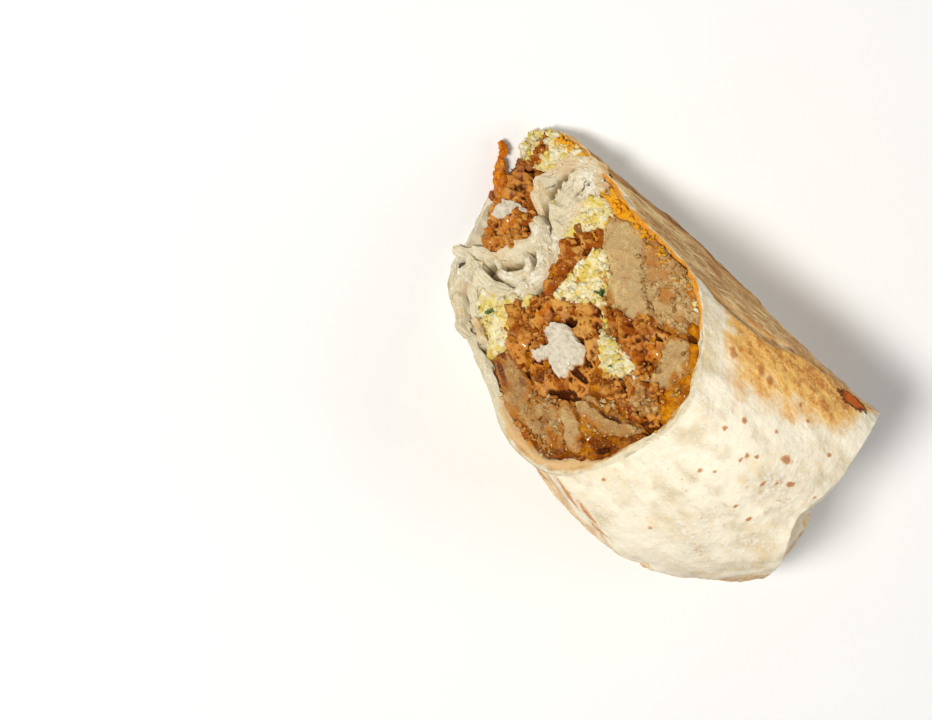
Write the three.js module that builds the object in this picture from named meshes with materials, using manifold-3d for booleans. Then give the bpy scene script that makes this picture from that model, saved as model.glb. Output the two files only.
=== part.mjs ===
// Half of a filled flour-tortilla burrito, cut on the slant, lying on its long narrow side.
//
// Frame, in millimetres: +Z is up and z = 0 is the surface it lies on. +X runs from the
// cut towards the closed end, +Y towards the griddled side. The origin is under the middle
// of its box.
//
// Everything inside and outside follows one ruled map, place(): a point of the slanted cut
// runs in a nearly straight line to its own point of the closed end, where the section is
// smaller. The wrap, its inner folds and each filling are outlines on the cut that are
// carried along that map, so that they stay side by side all the way in.

import * as THREE from 'three';
import { mergeVertices } from 'three/addons/utils/BufferGeometryUtils.js';
import Module from 'manifold-3d';

const wasm = await Module();
wasm.setup();

// ---------------------------------------------------------------- driving dimensions

const TURN = Math.PI * 2;

// The section at the cut, seen along X: radii of the wrap's outer face, one every 22.5
// degrees from +Y towards +Z, about the section's centre.
const CUT_CENTRE = { y: -7, z: 40 };
const CUT_RADII = [28.8, 30, 34.3, 35.2, 36.8, 34.8, 35.1, 37, 34.9, 31, 32.8, 39.6, 38.4, 42.4, 45.4, 34.4];

// The plane of the cut passes through this point, and x grows along it by these slopes.
const CUT_POINT = { x: -20, y: 0, z: 45.2 };
const CUT_SLOPE = { y: -0.211, z: 0.691 };

// The closed end: a rounded rectangle, rolled and skewed, fuller below than above.
const END_CENTRE = { x: 58, y: 0.4, z: 39.5 };
const END_HALF = { y: 24.9, up: 26, down: 34.5 };
const END_POWER = 3.1;
const END_ROLL = -0.129;
const END_SKEW = { y: -0.114, z: -0.32 };
const END_DOME = 1.2;
const END_DENT = { depth: 4, at: -12, half: 9 };

// The sheet's sides are folded in over the closed end: each flap's edge is a step along a
// line on it, given by its direction from +Y towards +Z and its distance from the middle.
const FLAP_STEP = 1.6;
const FLAPS = [{ turn: 0.5, past: 4 }, { turn: 3.5, past: 7 }];

// The section keeps its size at first and then draws in with this power of the way along.
const TAPER_POWER = 2.5;
const BULGE_FAR_SIDE = 6;
const BULGE_GRIDDLED_SIDE = 2;

// The wrap: one layer, doubled where the sheet laps over itself.
const SHEET = 1.6;
const LAP_EXTRA = 1.5;
const LAP_FROM = 2.55;
const LAP_TO = 4.25;
const CAVITY_END = 0.8;
const FLAT_DEPTH = 2.2;

// The overlap edge runs along the far side, and the tucked end laps over the wrap.
const SEAM_ANGLE = 3.42;
const SEAM_STEP = 1.6;
const TUCK_AT = 0.6;
const TUCK_STEP = 1.8;
const TUCK_GROOVE = 1.6;

// Facets.
const WRAP_SIDES = 60;
const WRAP_RINGS = 15;
const CAVITY_RINGS = 5;
const PIECE_SIDES = 24;

// The fillings: place on the cut, half sizes, and the long axis's turn from +Y towards +Z.
// proud is how far the middle stands out of the cut, and rough how deep its crags are.
const GAP = 0.4;
const FILLING_END = 0.76;
const EDGE_ROUND = 0.02;
const FILLINGS = {
  chicken_pocket:  { y: 2.5, z: 10.6, long: 11.3, wide: 7, turn: 172, proud: 2.4, rough: 1.3 },
  chicken_strip:   { y: 3, z: 31, long: 7, wide: 2.7, turn: 15, proud: 0.8, rough: 0.9 },
  chicken_lower:   { y: -16.8, z: 39.2, long: 13.1, wide: 10.6, turn: 82, proud: 1.2, rough: 1.4 },
  chicken_right:   { y: -2.8, z: 56.8, long: 7.6, wide: 5.4, turn: 88, proud: 1.4, rough: 1.3 },
  chicken_crumb:   { y: -14.5, z: 62.3, long: 7.2, wide: 3.9, turn: 72, proud: 0.4, rough: 1.4 },
  egg_top:         { y: 19.6, z: 8.6, long: 9.5, wide: 4.4, turn: 73, proud: 1.8, rough: 1.2 },
  egg_upper:       { y: 14.3, z: 29.5, long: 4.8, wide: 2.5, turn: 30, proud: 1.2, rough: 1 },
  egg_middle:      { y: 1.7, z: 36, long: 7.5, wide: 4, turn: 30, proud: 0.8, rough: 1 },
  egg_left:        { y: -20.2, z: 23.5, long: 7.1, wide: 4, turn: 31, proud: 1, rough: 1.1 },
  egg_centre:      { y: -7.6, z: 54.7, long: 5.8, wide: 2.9, turn: 107, proud: 0.4, rough: 0.9 },
  potato_slab:     { y: 10.3, z: 44.1, long: 11.3, wide: 4.7, turn: 134, proud: 0.6, rough: 0.5 },
  potato_crumble:  { y: 11.5, z: 57.4, long: 11.4, wide: 5.1, turn: 103, proud: 0.5, rough: 1.2 },
  potato_right:    { y: -0.9, z: 67.4, long: 7.1, wide: 3.9, turn: 178, proud: 0.2, rough: 0.6 },
  potato_left:     { y: -30.1, z: 33.9, long: 6.2, wide: 3.1, turn: 123, proud: 0, rough: 0.9 },
  potato_corner:   { y: -32.8, z: 45.2, long: 6.2, wide: 4.3, turn: 86, proud: 0, rough: 1 },
  potato_oval:     { y: -29.2, z: 53.4, long: 5.5, wide: 2.2, turn: 131, proud: 0.5, rough: 0.4 },
  potato_long:     { y: -21.4, z: 60.4, long: 10.1, wide: 2.6, turn: 77, proud: 0.4, rough: 0.5 },
  cheese_top:      { y: 22, z: 33.4, long: 6.7, wide: 3.6, turn: 108, proud: 0.3, rough: 0.5 },
  cheese_side:     { y: 6.4, z: 69.2, long: 9.1, wide: 2.1, turn: 133, proud: 0, rough: 0.5 },
  cheese_patch:    { y: -13.4, z: 52, long: 5.8, wide: 2.4, turn: 2, proud: 0, rough: 0.5 },
  cheese_bottom:   { y: -25.3, z: 67.3, long: 16.3, wide: 3.6, turn: 42, proud: -0.4, rough: 0.6 },
  cheese_corner:   { y: -7.6, z: 74.7, long: 6.1, wide: 4.9, turn: 20, proud: 0, rough: 0.8 },
};

// The open pocket between the wrap and the first piece of chicken holds nothing.
const POCKET = { y: -5.6, z: 5.1, long: 5.9, wide: 1.7, turn: 175 };

// A shard of fried batter that sticks out of the pocket: y, z on the cut, how far out of
// it, and its half width.
const SHARD = [
  { y: 2.4, z: 8, out: -2, half: 2.6 },
  { y: 4.3, z: 6.6, out: 2, half: 2.4 },
  { y: 7.2, z: 5.6, out: 4, half: 1.7 },
  { y: 10.4, z: 5.4, out: 5.2, half: 1.1 },
  { y: 12.4, z: 5.9, out: 6.2, half: 1.6 },
  { y: 13.9, z: 4.9, out: 7, half: 0.8 },
];
const SHARD_SIDES = 7;

// The folds of the sheet inside the cut, as lines that the middle of the sheet follows.
const FOLD_HALF = 1.05;
const FOLD_STEPS = 11;
const FOLDS = {
  pocket_floor: [[-15.5, 1.5], [-11.3, 7.8], [-9.1, 13.2], [-4.8, 16.6], [-0.1, 19.3], [3.7, 19]],
  roll: [[2.3, 19.6], [-1.2, 23.3], [-6.2, 25.2], [-10.8, 23.8], [-14.3, 19.2], [-15.6, 13.9], [-13.6, 8.4]],
  roll_core: [[-3.2, 19.4], [-6.9, 21.8], [-10.4, 20.4], [-11.6, 16.6], [-9.6, 13.6]],
  side_layer: [[-13, 6.4], [-19.6, 7.6], [-23.6, 10.2], [-29.5, 15.8]],
  side_inner: [[-14.9, 11.4], [-20.2, 12.2], [-23.4, 15.3], [-27.6, 21.5]],
  ruffle_outer: [
    [24.8, 26.2], [23.6, 21.4], [21, 16.9], [16.7, 13.5], [11.5, 13.4],
    [6.9, 15.3], [3.7, 19], [0.6, 23], [-3.4, 25.8], [-7, 26.4],
  ],
  ruffle_middle: [[22.4, 26.4], [21.6, 22.6], [17.6, 20.1], [11.9, 20.2], [6.8, 22], [2, 25.6], [-3.6, 27.3]],
  ruffle_inner: [[21.4, 29], [20.4, 26.2], [17.4, 24.6], [13.6, 25.4], [9.9, 24.3], [4.6, 24.6]],
};

// ---------------------------------------------------------------- the ruled map

// A value of a closed table of evenly spaced angles, smooth between its entries.
function around(table, angle) {
  const n = table.length;
  const t = (((angle / TURN) % 1) + 1) % 1 * n;
  const i = Math.floor(t);
  const f = t - i;
  const [a, b, c, d] = [-1, 0, 1, 2].map((k) => table[(i + k + n) % n]);
  return b + 0.5 * f * (c - a + f * (2 * a - 5 * b + 4 * c - d + f * (3 * (b - c) + d - a)));
}

// How far a value has gone from lo to hi, eased at both ends.
function ease(lo, hi, value) {
  return THREE.MathUtils.smoothstep(value, lo, hi);
}

// The x of the cut's plane over a point of the section.
function cutX(y, z) {
  return CUT_POINT.x + CUT_SLOPE.y * (y - CUT_POINT.y) + CUT_SLOPE.z * (z - CUT_POINT.z);
}

// The closed end's outline at an angle, as steps across and up from its centre.
function endOffset(angle) {
  const c = Math.cos(angle);
  const s = Math.sin(angle);
  const reach = (Math.abs(c) ** END_POWER + Math.abs(s) ** END_POWER) ** (-1 / END_POWER);
  return [END_HALF.y * c * reach, (s > 0 ? END_HALF.up : END_HALF.down) * s * reach];
}

// A point of the half: along runs from 0 at the cut to 1 at the closed end, angle and
// reach are polar about the section's centre, with reach 1 on the wrap's outer face.
function place(along, angle, reach) {
  const radius = around(CUT_RADII, angle) * reach;
  const y0 = CUT_CENTRE.y + radius * Math.cos(angle);
  const z0 = CUT_CENTRE.z + radius * Math.sin(angle);
  const [u, v] = endOffset(angle).map((value) => value * reach);
  const y1 = END_CENTRE.y + u * Math.cos(END_ROLL) - v * Math.sin(END_ROLL);
  const z1 = END_CENTRE.z + u * Math.sin(END_ROLL) + v * Math.cos(END_ROLL);
  const dent = END_DENT.depth * Math.exp(-(((u - END_DENT.at) / END_DENT.half) ** 2)) * ease(0, 15, v);
  const x1 = END_CENTRE.x + END_SKEW.y * u + END_SKEW.z * v - dent;
  const taper = Math.max(along, 0) ** TAPER_POWER;
  const swell = Math.sin(Math.PI * Math.max(along, 0)) * reach * Math.cos(angle);
  const side = swell * (swell > 0 ? BULGE_GRIDDLED_SIDE : BULGE_FAR_SIDE);
  return new THREE.Vector3(
    THREE.MathUtils.lerp(cutX(y0, z0), x1, along),
    THREE.MathUtils.lerp(y0, y1, taper) + side,
    Math.max(THREE.MathUtils.lerp(z0, z1, taper), FLAT_DEPTH),
  );
}

// The polar place of a point of the cut.
function polar(y, z) {
  const angle = Math.atan2(z - CUT_CENTRE.z, y - CUT_CENTRE.y);
  const radius = Math.hypot(y - CUT_CENTRE.y, z - CUT_CENTRE.z);
  return [angle, radius / around(CUT_RADII, angle)];
}

// The length of the half behind a point of the cut.
function lengthBehind(y, z) {
  return END_CENTRE.x - cutX(y, z);
}

// A point of the cut carried along the half.
function placeFromCut(along, y, z) {
  return place(along, ...polar(y, z));
}

// The wrap's thickness, as a share of the radius: thicker where the sheet laps.
function wallShare(angle) {
  const a = (angle + TURN) % TURN;
  const lap = ease(LAP_FROM - 0.3, LAP_FROM, a) * (1 - ease(LAP_TO, LAP_TO + 0.3, a));
  return (SHEET + LAP_EXTRA * lap) / around(CUT_RADII, a);
}

// ---------------------------------------------------------------- closed meshes

// A closed body from rings of points, each ring with as many points, with one point that
// closes each end. Rings run so that faces look outwards when wound by the right hand.
function bodyFromRings(first, rings, last) {
  const sides = rings[0].length;
  const points = [first, ...rings.flat(), last];
  const faces = [];
  for (let k = 0; k < sides; k += 1) {
    const next = (k + 1) % sides;
    faces.push(0, 1 + next, 1 + k);
    for (let r = 0; r < rings.length - 1; r += 1) {
      const a = 1 + r * sides + k;
      const b = 1 + r * sides + next;
      faces.push(a, b, b + sides, a, b + sides, a + sides);
    }
    const tail = 1 + (rings.length - 1) * sides;
    faces.push(tail + k, tail + next, points.length - 1);
  }
  const geometry = new THREE.BufferGeometry();
  geometry.setAttribute('position', new THREE.Float32BufferAttribute(points.flatMap((p) => p.toArray()), 3));
  geometry.setIndex(faces);
  return geometry;
}

function toSolid(geometry) {
  const merged = mergeVertices(geometry, 1e-4);
  return new wasm.Manifold(new wasm.Mesh({
    numProp: 3,
    vertProperties: new Float32Array(merged.attributes.position.array),
    triVerts: new Uint32Array(merged.index.array),
  }));
}

function toGeometry(solid) {
  const mesh = solid.getMesh();
  const geometry = new THREE.BufferGeometry();
  geometry.setAttribute('position', new THREE.BufferAttribute(new Float32Array(mesh.vertProperties), 3));
  geometry.setIndex(new THREE.BufferAttribute(new Uint32Array(mesh.triVerts), 1));
  return geometry;
}

// ---------------------------------------------------------------- the wrap

// How far the outer face stands off its plain form: the seam's step along the far side,
// and the step and groove of the tucked end.
function wrapRelief(along, angle) {
  const a = (angle + TURN) % TURN;
  const seam = SEAM_STEP * ease(SEAM_ANGLE - 0.05, SEAM_ANGLE + 0.05, a) * (1 - ease(4.2, 4.6, a));
  const lower = ease(2.6, 3.1, a) * (1 - ease(4.3, 4.7, a));
  const tuck = TUCK_STEP * ease(TUCK_AT - 0.01, TUCK_AT + 0.05, along);
  const groove = TUCK_GROOVE * Math.exp(-(((along - TUCK_AT) / 0.03) ** 2));
  const fade = 1 - ease(0.9, 1, along);
  return (seam + lower * (tuck - groove)) * ease(0, 0.12, along) * fade;
}

function wrapPoint(along, angle) {
  const share = wrapRelief(along, angle) / around(CUT_RADII, angle);
  return place(along, angle, 1 + share);
}

function ringOf(makePoint, sides) {
  return Array.from({ length: sides }, (_, k) => makePoint((k / sides) * TURN));
}

// A point of the closed end: a low dome with the steps of the flaps folded over it.
function endPoint(angle, reach) {
  const [u, v] = endOffset(angle).map((value) => value * reach);
  const rise = END_DOME * (1 - reach ** 4) - FLAP_STEP * (1 - ease(0.8, 1, reach));
  const flaps = FLAPS.map(({ turn, past }) => {
    const across = u * Math.cos(turn) + v * Math.sin(turn) - past;
    return FLAP_STEP * ease(-1, 1, across) * (1 - ease(0.8, 1, reach));
  });
  return place(1, angle, reach).add(new THREE.Vector3(rise + flaps[0] + flaps[1], 0, 0));
}

// The outer face: rings up to the closed end and over it.
function outerRings() {
  const rings = [];
  for (let r = 0; r <= WRAP_RINGS; r += 1) {
    rings.push(ringOf((angle) => wrapPoint(r / WRAP_RINGS, angle), WRAP_SIDES));
  }
  for (const reach of [0.94, 0.72, 0.48, 0.24]) {
    rings.push(ringOf((angle) => endPoint(angle, reach), WRAP_SIDES));
  }
  return rings;
}

function innerRings() {
  const rings = [];
  for (let r = 0; r <= CAVITY_RINGS; r += 1) {
    const along = (r / CAVITY_RINGS) * CAVITY_END;
    rings.push(ringOf((angle) => place(along, angle, 1 - wallShare(angle)), WRAP_SIDES));
  }
  return rings;
}

// The hollow wrap is one surface: from the cavity's end out to the cut, round its edge
// and along the outer face to the closed end.
function wrapShell() {
  const inner = innerRings().reverse();
  const cavityEnd = place(CAVITY_END, 0, 0);
  const endMiddle = endPoint(0, 0);
  return bodyFromRings(cavityEnd, [...inner, ...outerRings()], endMiddle);
}

function wrapFilled() {
  return bodyFromRings(place(-0.03, 0, 0), outerRings(), endPoint(0, 0));
}

// A fold: a strip of sheet that follows a line on the cut and runs along the half.
function foldBody(line) {
  const curve = new THREE.SplineCurve(line.map(([y, z]) => new THREE.Vector2(y, z)));
  const spine = curve.getPoints(FOLD_STEPS);
  const left = [];
  const right = [];
  spine.forEach((point, i) => {
    const tangent = curve.getTangent(i / FOLD_STEPS);
    const normal = new THREE.Vector2(-tangent.y, tangent.x).multiplyScalar(FOLD_HALF);
    left.push(point.clone().add(normal));
    right.unshift(point.clone().sub(normal));
  });
  const outline = [...right, ...left];
  if (THREE.ShapeUtils.isClockWise(outline)) {
    outline.reverse();
  }
  const caps = THREE.ShapeUtils.triangulateShape(outline, []);
  const levels = [0, 0.4, FILLING_END];
  const points = levels.flatMap((along) => outline.map((p) => placeFromCut(along, p.x, p.y)));
  const n = outline.length;
  const faces = [];
  const top = (levels.length - 1) * n;
  for (const [a, b, c] of caps) {
    faces.push(a, c, b, top + a, top + b, top + c);
  }
  for (let r = 0; r < levels.length - 1; r += 1) {
    for (let k = 0; k < n; k += 1) {
      const a = r * n + k;
      const b = r * n + ((k + 1) % n);
      faces.push(a, b, b + n, a, b + n, a + n);
    }
  }
  const geometry = new THREE.BufferGeometry();
  geometry.setAttribute('position', new THREE.Float32BufferAttribute(points.flatMap((p) => p.toArray()), 3));
  geometry.setIndex(faces);
  return geometry;
}

function wrap() {
  const inside = toSolid(wrapFilled());
  let solid = toSolid(wrapShell());
  for (const line of Object.values(FOLDS)) {
    solid = solid.add(toSolid(foldBody(line)).intersect(inside));
  }
  return toGeometry(solid);
}

// ---------------------------------------------------------------- the fillings

// Signed distance, nearly, from a point of the cut to a filling's ellipse.
function fillingDistance(shape, y, z) {
  const turn = THREE.MathUtils.degToRad(shape.turn);
  const dy = y - shape.y;
  const dz = z - shape.z;
  const along = (dy * Math.cos(turn) + dz * Math.sin(turn)) / shape.long;
  const across = (dz * Math.cos(turn) - dy * Math.sin(turn)) / shape.wide;
  return (Math.hypot(along, across) - 1) * shape.wide;
}

// Every fold as a fine run of points on the cut.
const FOLD_POINTS = Object.values(FOLDS).flatMap((line) => (
  new THREE.SplineCurve(line.map(([y, z]) => new THREE.Vector2(y, z))).getPoints(80)
));

function clearOfFolds(y, z) {
  const room = FOLD_HALF + GAP;
  return FOLD_POINTS.every((p) => Math.hypot(p.x - y, p.y - z) > room);
}

// A point belongs to the filling whose ellipse it is nearest to or deepest in.
function belongsTo(shape, rivals, y, z) {
  const [angle, reach] = polar(y, z);
  if (reach > 1 - wallShare(angle) - GAP / around(CUT_RADII, angle)) {
    return false;
  }
  const own = fillingDistance(shape, y, z);
  return rivals.every((rival) => fillingDistance(rival, y, z) - own > GAP) && clearOfFolds(y, z);
}

// The middle of what a filling holds on the cut: of its own points on a fine grid, the one
// with most room to its rivals and to the middle of them all.
function heldMiddle(shape, rivals) {
  const held = [];
  const span = shape.long * 1.4;
  for (let y = shape.y - span; y <= shape.y + span; y += 0.5) {
    for (let z = shape.z - span; z <= shape.z + span; z += 0.5) {
      if (belongsTo(shape, rivals, y, z)) {
        held.push([y, z]);
      }
    }
  }
  const mean = [0, 1].map((i) => held.reduce((sum, p) => sum + p[i], 0) / held.length);
  const score = ([y, z]) => {
    const own = fillingDistance(shape, y, z);
    const room = Math.min(...rivals.map((rival) => fillingDistance(rival, y, z) - own));
    return Math.min(room, 3) - Math.hypot(y - mean[0], z - mean[1]);
  };
  return held.reduce((best, p) => (score(p) > score(best) ? p : best));
}

// The reach of a filling on the cut in each direction from its middle. A straight side
// that would cut across a neighbour is drawn in at its longer end until it is clear.
function fillingOutline(shape, rivals, [y, z]) {
  const step = 0.2;
  const clear = (dy, dz) => belongsTo(shape, rivals, y + dy, z + dz);
  const corner = (radius, k) => {
    const angle = (k / PIECE_SIDES) * TURN;
    return [radius * Math.cos(angle), radius * Math.sin(angle)];
  };
  const radii = Array.from({ length: PIECE_SIDES }, (_, k) => {
    let radius = step;
    while (clear(...corner(radius, k))) {
      radius += step;
    }
    return radius - step;
  });
  for (let k = 0; k < 3 * PIECE_SIDES; k += 1) {
    const i = k % PIECE_SIDES;
    const j = (k + 1) % PIECE_SIDES;
    const sideIsClear = () => [0.2, 0.4, 0.6, 0.8].every((f) => {
      const [p, q] = [corner(radii[i], i), corner(radii[j], j)];
      return clear(p[0] + f * (q[0] - p[0]), p[1] + f * (q[1] - p[1]));
    });
    while (!sideIsClear() && Math.max(radii[i], radii[j]) > step) {
      radii[radii[i] > radii[j] ? i : j] -= step / 2;
    }
  }
  return radii;
}

// A repeatable rough value between -1 and 1.
function roughness(y, z, seed) {
  const wave = Math.sin(y * 1.31 + seed) * Math.cos(z * 1.07 - 2.1 * seed);
  const finer = Math.sin(y * 2.3 - z * 1.9 + 3.7 * seed);
  return 0.6 * wave + 0.4 * finer;
}

function fillingBody(shape, rivals, seed) {
  const middle = heldMiddle(shape, rivals);
  const radii = fillingOutline(shape, rivals, middle);
  const pointAt = (share, k) => {
    const angle = (k / PIECE_SIDES) * TURN;
    const radius = radii[k] * share;
    return [middle[0] + radius * Math.cos(angle), middle[1] + radius * Math.sin(angle)];
  };
  const front = (share, k) => {
    const [y, z] = pointAt(share, k);
    const out = shape.proud * (1 - share ** 3) + shape.rough * roughness(y, z, seed) * (1 - share ** 4);
    const along = -out / lengthBehind(y, z) + EDGE_ROUND * share ** 4;
    return placeFromCut(along, y, z);
  };
  const rings = [0.45, 0.8, 1].map((share) => (
    Array.from({ length: PIECE_SIDES }, (_, k) => front(share, k))
  ));
  for (const along of [0.25, 0.5, FILLING_END]) {
    rings.push(Array.from({ length: PIECE_SIDES }, (_, k) => placeFromCut(along, ...pointAt(1, k))));
  }
  return bodyFromRings(front(0, 0), rings, placeFromCut(FILLING_END, ...middle));
}

function shardBody() {
  const rings = SHARD.map(({ y, z, out, half }) => {
    const middle = placeFromCut(-out / lengthBehind(y, z), y, z);
    return Array.from({ length: SHARD_SIDES }, (_, k) => {
      const angle = (k / SHARD_SIDES) * TURN;
      return middle.clone().add(new THREE.Vector3(0, half * Math.cos(angle), half * Math.sin(angle)));
    });
  }).reverse();
  const tip = rings[0].reduce((sum, p) => sum.add(p), new THREE.Vector3()).divideScalar(SHARD_SIDES);
  const root = rings.at(-1).reduce((sum, p) => sum.add(p), new THREE.Vector3()).divideScalar(SHARD_SIDES);
  return bodyFromRings(tip.add(new THREE.Vector3(-0.6, 0.3, 0)), rings, root);
}

// ---------------------------------------------------------------- materials and assembly

const COLOURS = {
  tortilla: 0xe9dcc2,
  chicken: 0xa5622c,
  egg: 0xf0e2a0,
  potato: 0xd3b48a,
  cheese: 0xd8892c,
};

function meshOf(name, geometry, colour, roughnessValue) {
  const material = new THREE.MeshStandardMaterial({ color: colour, roughness: roughnessValue, metalness: 0 });
  const mesh = new THREE.Mesh(geometry, material);
  mesh.name = name;
  return mesh;
}

function burrito() {
  const group = new THREE.Group();
  group.add(meshOf('tortilla', wrap(), COLOURS.tortilla, 0.75));
  const shapes = Object.values(FILLINGS);
  Object.entries(FILLINGS).forEach(([name, shape], i) => {
    const rivals = [...shapes.filter((other) => other !== shape), POCKET];
    let geometry = fillingBody(shape, rivals, i + 1);
    if (name === 'chicken_pocket') {
      geometry = toGeometry(toSolid(geometry).add(toSolid(shardBody())));
    }
    const family = name.split('_')[0];
    group.add(meshOf(name, geometry, COLOURS[family], family === 'cheese' ? 0.35 : 0.7));
  });
  const box = new THREE.Box3().setFromObject(group);
  const middle = box.getCenter(new THREE.Vector3());
  group.position.set(-middle.x, -middle.y, -box.min.z);
  return group;
}

export default burrito();
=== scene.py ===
# %% [markdown]
# # Half of a griddled burrito, cut on the slant
#
# The burrito is a flour tortilla rolled round breaded chicken, scrambled egg, potato and
# melted cheese, griddled on its flat sides and cut across on the slant. The packed model
# gives its solids. This script covers them with detailed surfaces, one for each solid, and
# adds crumbs, herbs and the thin sauce that lies between the foods.
#
# Sizes here are in millimetres and go into the meshes in metres.

# %% Load the fixed frame
import math

import bmesh
import bpy
import numpy as np
from mathutils import Matrix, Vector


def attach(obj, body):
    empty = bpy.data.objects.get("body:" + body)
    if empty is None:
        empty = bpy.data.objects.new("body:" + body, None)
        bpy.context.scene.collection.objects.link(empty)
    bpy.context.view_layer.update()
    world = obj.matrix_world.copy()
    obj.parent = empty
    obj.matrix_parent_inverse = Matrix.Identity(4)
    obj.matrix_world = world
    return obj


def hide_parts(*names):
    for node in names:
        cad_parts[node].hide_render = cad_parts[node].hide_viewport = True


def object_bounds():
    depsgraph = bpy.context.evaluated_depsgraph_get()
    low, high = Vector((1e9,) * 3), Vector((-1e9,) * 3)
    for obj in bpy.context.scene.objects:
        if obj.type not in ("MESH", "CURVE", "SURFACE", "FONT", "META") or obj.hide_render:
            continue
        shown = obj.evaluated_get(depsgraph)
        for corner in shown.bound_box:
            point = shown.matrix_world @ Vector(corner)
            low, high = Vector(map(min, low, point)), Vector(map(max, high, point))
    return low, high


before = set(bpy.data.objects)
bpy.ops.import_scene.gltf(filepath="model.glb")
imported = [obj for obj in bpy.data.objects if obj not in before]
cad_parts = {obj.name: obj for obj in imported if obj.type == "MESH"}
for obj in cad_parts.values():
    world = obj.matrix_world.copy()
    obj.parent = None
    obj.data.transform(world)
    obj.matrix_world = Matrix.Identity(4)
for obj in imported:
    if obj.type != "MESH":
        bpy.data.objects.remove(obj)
cad_box = [list(corner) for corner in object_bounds()]
MM = 0.001
TURN = 2 * np.pi
print("CAD nodes:", len(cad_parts), "box in metres:", np.round(cad_box, 4).tolist())

# %% [markdown]
# ## The burrito's own coordinates
#
# Free modelling would leave each piece to be fitted to the next by eye. Here every piece
# follows one ruled map instead: a point of the slanted cut runs nearly straight to its own
# point of the smaller closed end. Anything drawn on the cut, such as a filling's outline
# or a fold of the sheet, can then be carried along the half and stays beside its neighbours.

# %% The driving dimensions, the same as the solids'
# The cut: its outline's middle and radii at even angles, and its slanted plane
CUT_CENTRE = (-7, 40)
CUT_RADII = np.array([
    28.8, 30, 34.3, 35.2, 36.8, 34.8, 35.1, 37, 34.9, 31, 32.8, 39.6, 38.4, 42.4, 45.4, 34.4,
])
CUT_POINT = (-20, 0, 45.2)
CUT_SLOPE = (-0.211, 0.691)
# The closed end: a rounded box that is turned, skewed, domed and dented
END_CENTRE = (58, 0.4, 39.5)
END_HALF_Y, END_HALF_UP, END_HALF_DOWN = 24.9, 26, 34.5
END_POWER, END_ROLL = 3.1, -0.129
END_SKEW = (-0.114, -0.32)
END_DOME, END_DENT, END_DENT_AT, END_DENT_HALF = 1.2, 4, -12, 9
# Between them the section tapers and its sides bulge, and it is pressed flat below
TAPER_POWER, BULGE_FAR_SIDE, BULGE_GRIDDLED_SIDE, FLAT_DEPTH = 2.5, 6, 2, 2.2
# The sheet's thickness, with what a lap adds between two angles, and the hollow's length
SHEET, LAP_EXTRA, LAP_FROM, LAP_TO = 1.6, 1.5, 2.55, 4.25
CAVITY_END = 0.8
ORIGIN = np.array([-5.554, 9.373, -2.2])
print("the cut's radii run from", CUT_RADII.min(), "to", CUT_RADII.max(), "mm")


# %% A curve round the section, and the plane of the cut
def cubic(a, b, c, d, f):
    """A cubic curve's value at a share f of the way from b to c, with a before and d after."""
    return b + 0.5 * f * (c - a + f * (2 * a - 5 * b + 4 * c - d + f * (3 * (b - c) + d - a)))


def around(table, angle):
    """A closed table of evenly spaced angles, with a cubic curve through its entries."""
    n = len(table)
    t = (angle / TURN) % 1 * n
    i = np.floor(t).astype(int)
    return cubic(*(table[(i + k) % n] for k in (-1, 0, 1, 2)), t - i)


def ease(lo, hi, value):
    """0 below lo and 1 above hi, with the cubic 3t^2 - 2t^3 between."""
    t = np.clip((value - lo) / (hi - lo), 0, 1)
    return t * t * (3 - 2 * t)


def cut_x(y, z):
    """The x of the cut's plane over a point of the section."""
    return CUT_POINT[0] + CUT_SLOPE[0] * (y - CUT_POINT[1]) + CUT_SLOPE[1] * (z - CUT_POINT[2])


print("x of the cut's middle:", round(cut_x(*CUT_CENTRE), 2), "mm")


# %% The ruled map
def end_point(angle, reach):
    """How far across and up a point of the closed end lies on its rounded box."""
    c, s = np.cos(angle), np.sin(angle)
    corner = (np.abs(c) ** END_POWER + np.abs(s) ** END_POWER) ** (-1 / END_POWER) * reach
    return END_HALF_Y * c * corner, np.where(s > 0, END_HALF_UP, END_HALF_DOWN) * s * corner


def place(along, angle, reach):
    """The ruled map: along is 0 at the cut and 1 at the closed end, and angle and reach are
    polar about the section's middle, with reach 1 on the wrap's outer face. The section's
    point on the cut and the one on the end are mixed by along to a power."""
    along, angle, reach = np.broadcast_arrays(*(np.asarray(v, float) for v in (along, angle, reach)))
    radius = around(CUT_RADII, angle) * reach
    c, s = np.cos(angle), np.sin(angle)
    y0, z0 = CUT_CENTRE[0] + radius * c, CUT_CENTRE[1] + radius * s
    u, v = end_point(angle, reach)
    y1 = END_CENTRE[1] + u * math.cos(END_ROLL) - v * math.sin(END_ROLL)
    z1 = END_CENTRE[2] + u * math.sin(END_ROLL) + v * math.cos(END_ROLL)
    dent = END_DENT * np.exp(-(((u - END_DENT_AT) / END_DENT_HALF) ** 2)) * ease(0, 15, v)
    x1 = END_CENTRE[0] + END_SKEW[0] * u + END_SKEW[1] * v - dent
    taper = np.maximum(along, 0) ** TAPER_POWER
    swell = np.sin(np.pi * np.maximum(along, 0)) * reach * c
    side = swell * np.where(swell > 0, BULGE_GRIDDLED_SIDE, BULGE_FAR_SIDE)
    x0 = cut_x(y0, z0)
    z = np.maximum(z0 + (z1 - z0) * taper, FLAT_DEPTH)
    return np.stack([x0 + (x1 - x0) * along, y0 + (y1 - y0) * taper + side, z], -1) + ORIGIN


def full_turn(steps):
    """Even angles once round."""
    return TURN * np.arange(steps) / steps


def polar(y, z):
    """Angle and reach of a point of the cut."""
    angle = np.arctan2(z - CUT_CENTRE[1], y - CUT_CENTRE[0])
    return angle, np.hypot(y - CUT_CENTRE[0], z - CUT_CENTRE[1]) / around(CUT_RADII, angle)


def place_from_cut(depth, y, z):
    """A point of the cut carried depth millimetres towards the closed end."""
    return place(depth / (END_CENTRE[0] - cut_x(y, z)), *polar(y, z))


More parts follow.
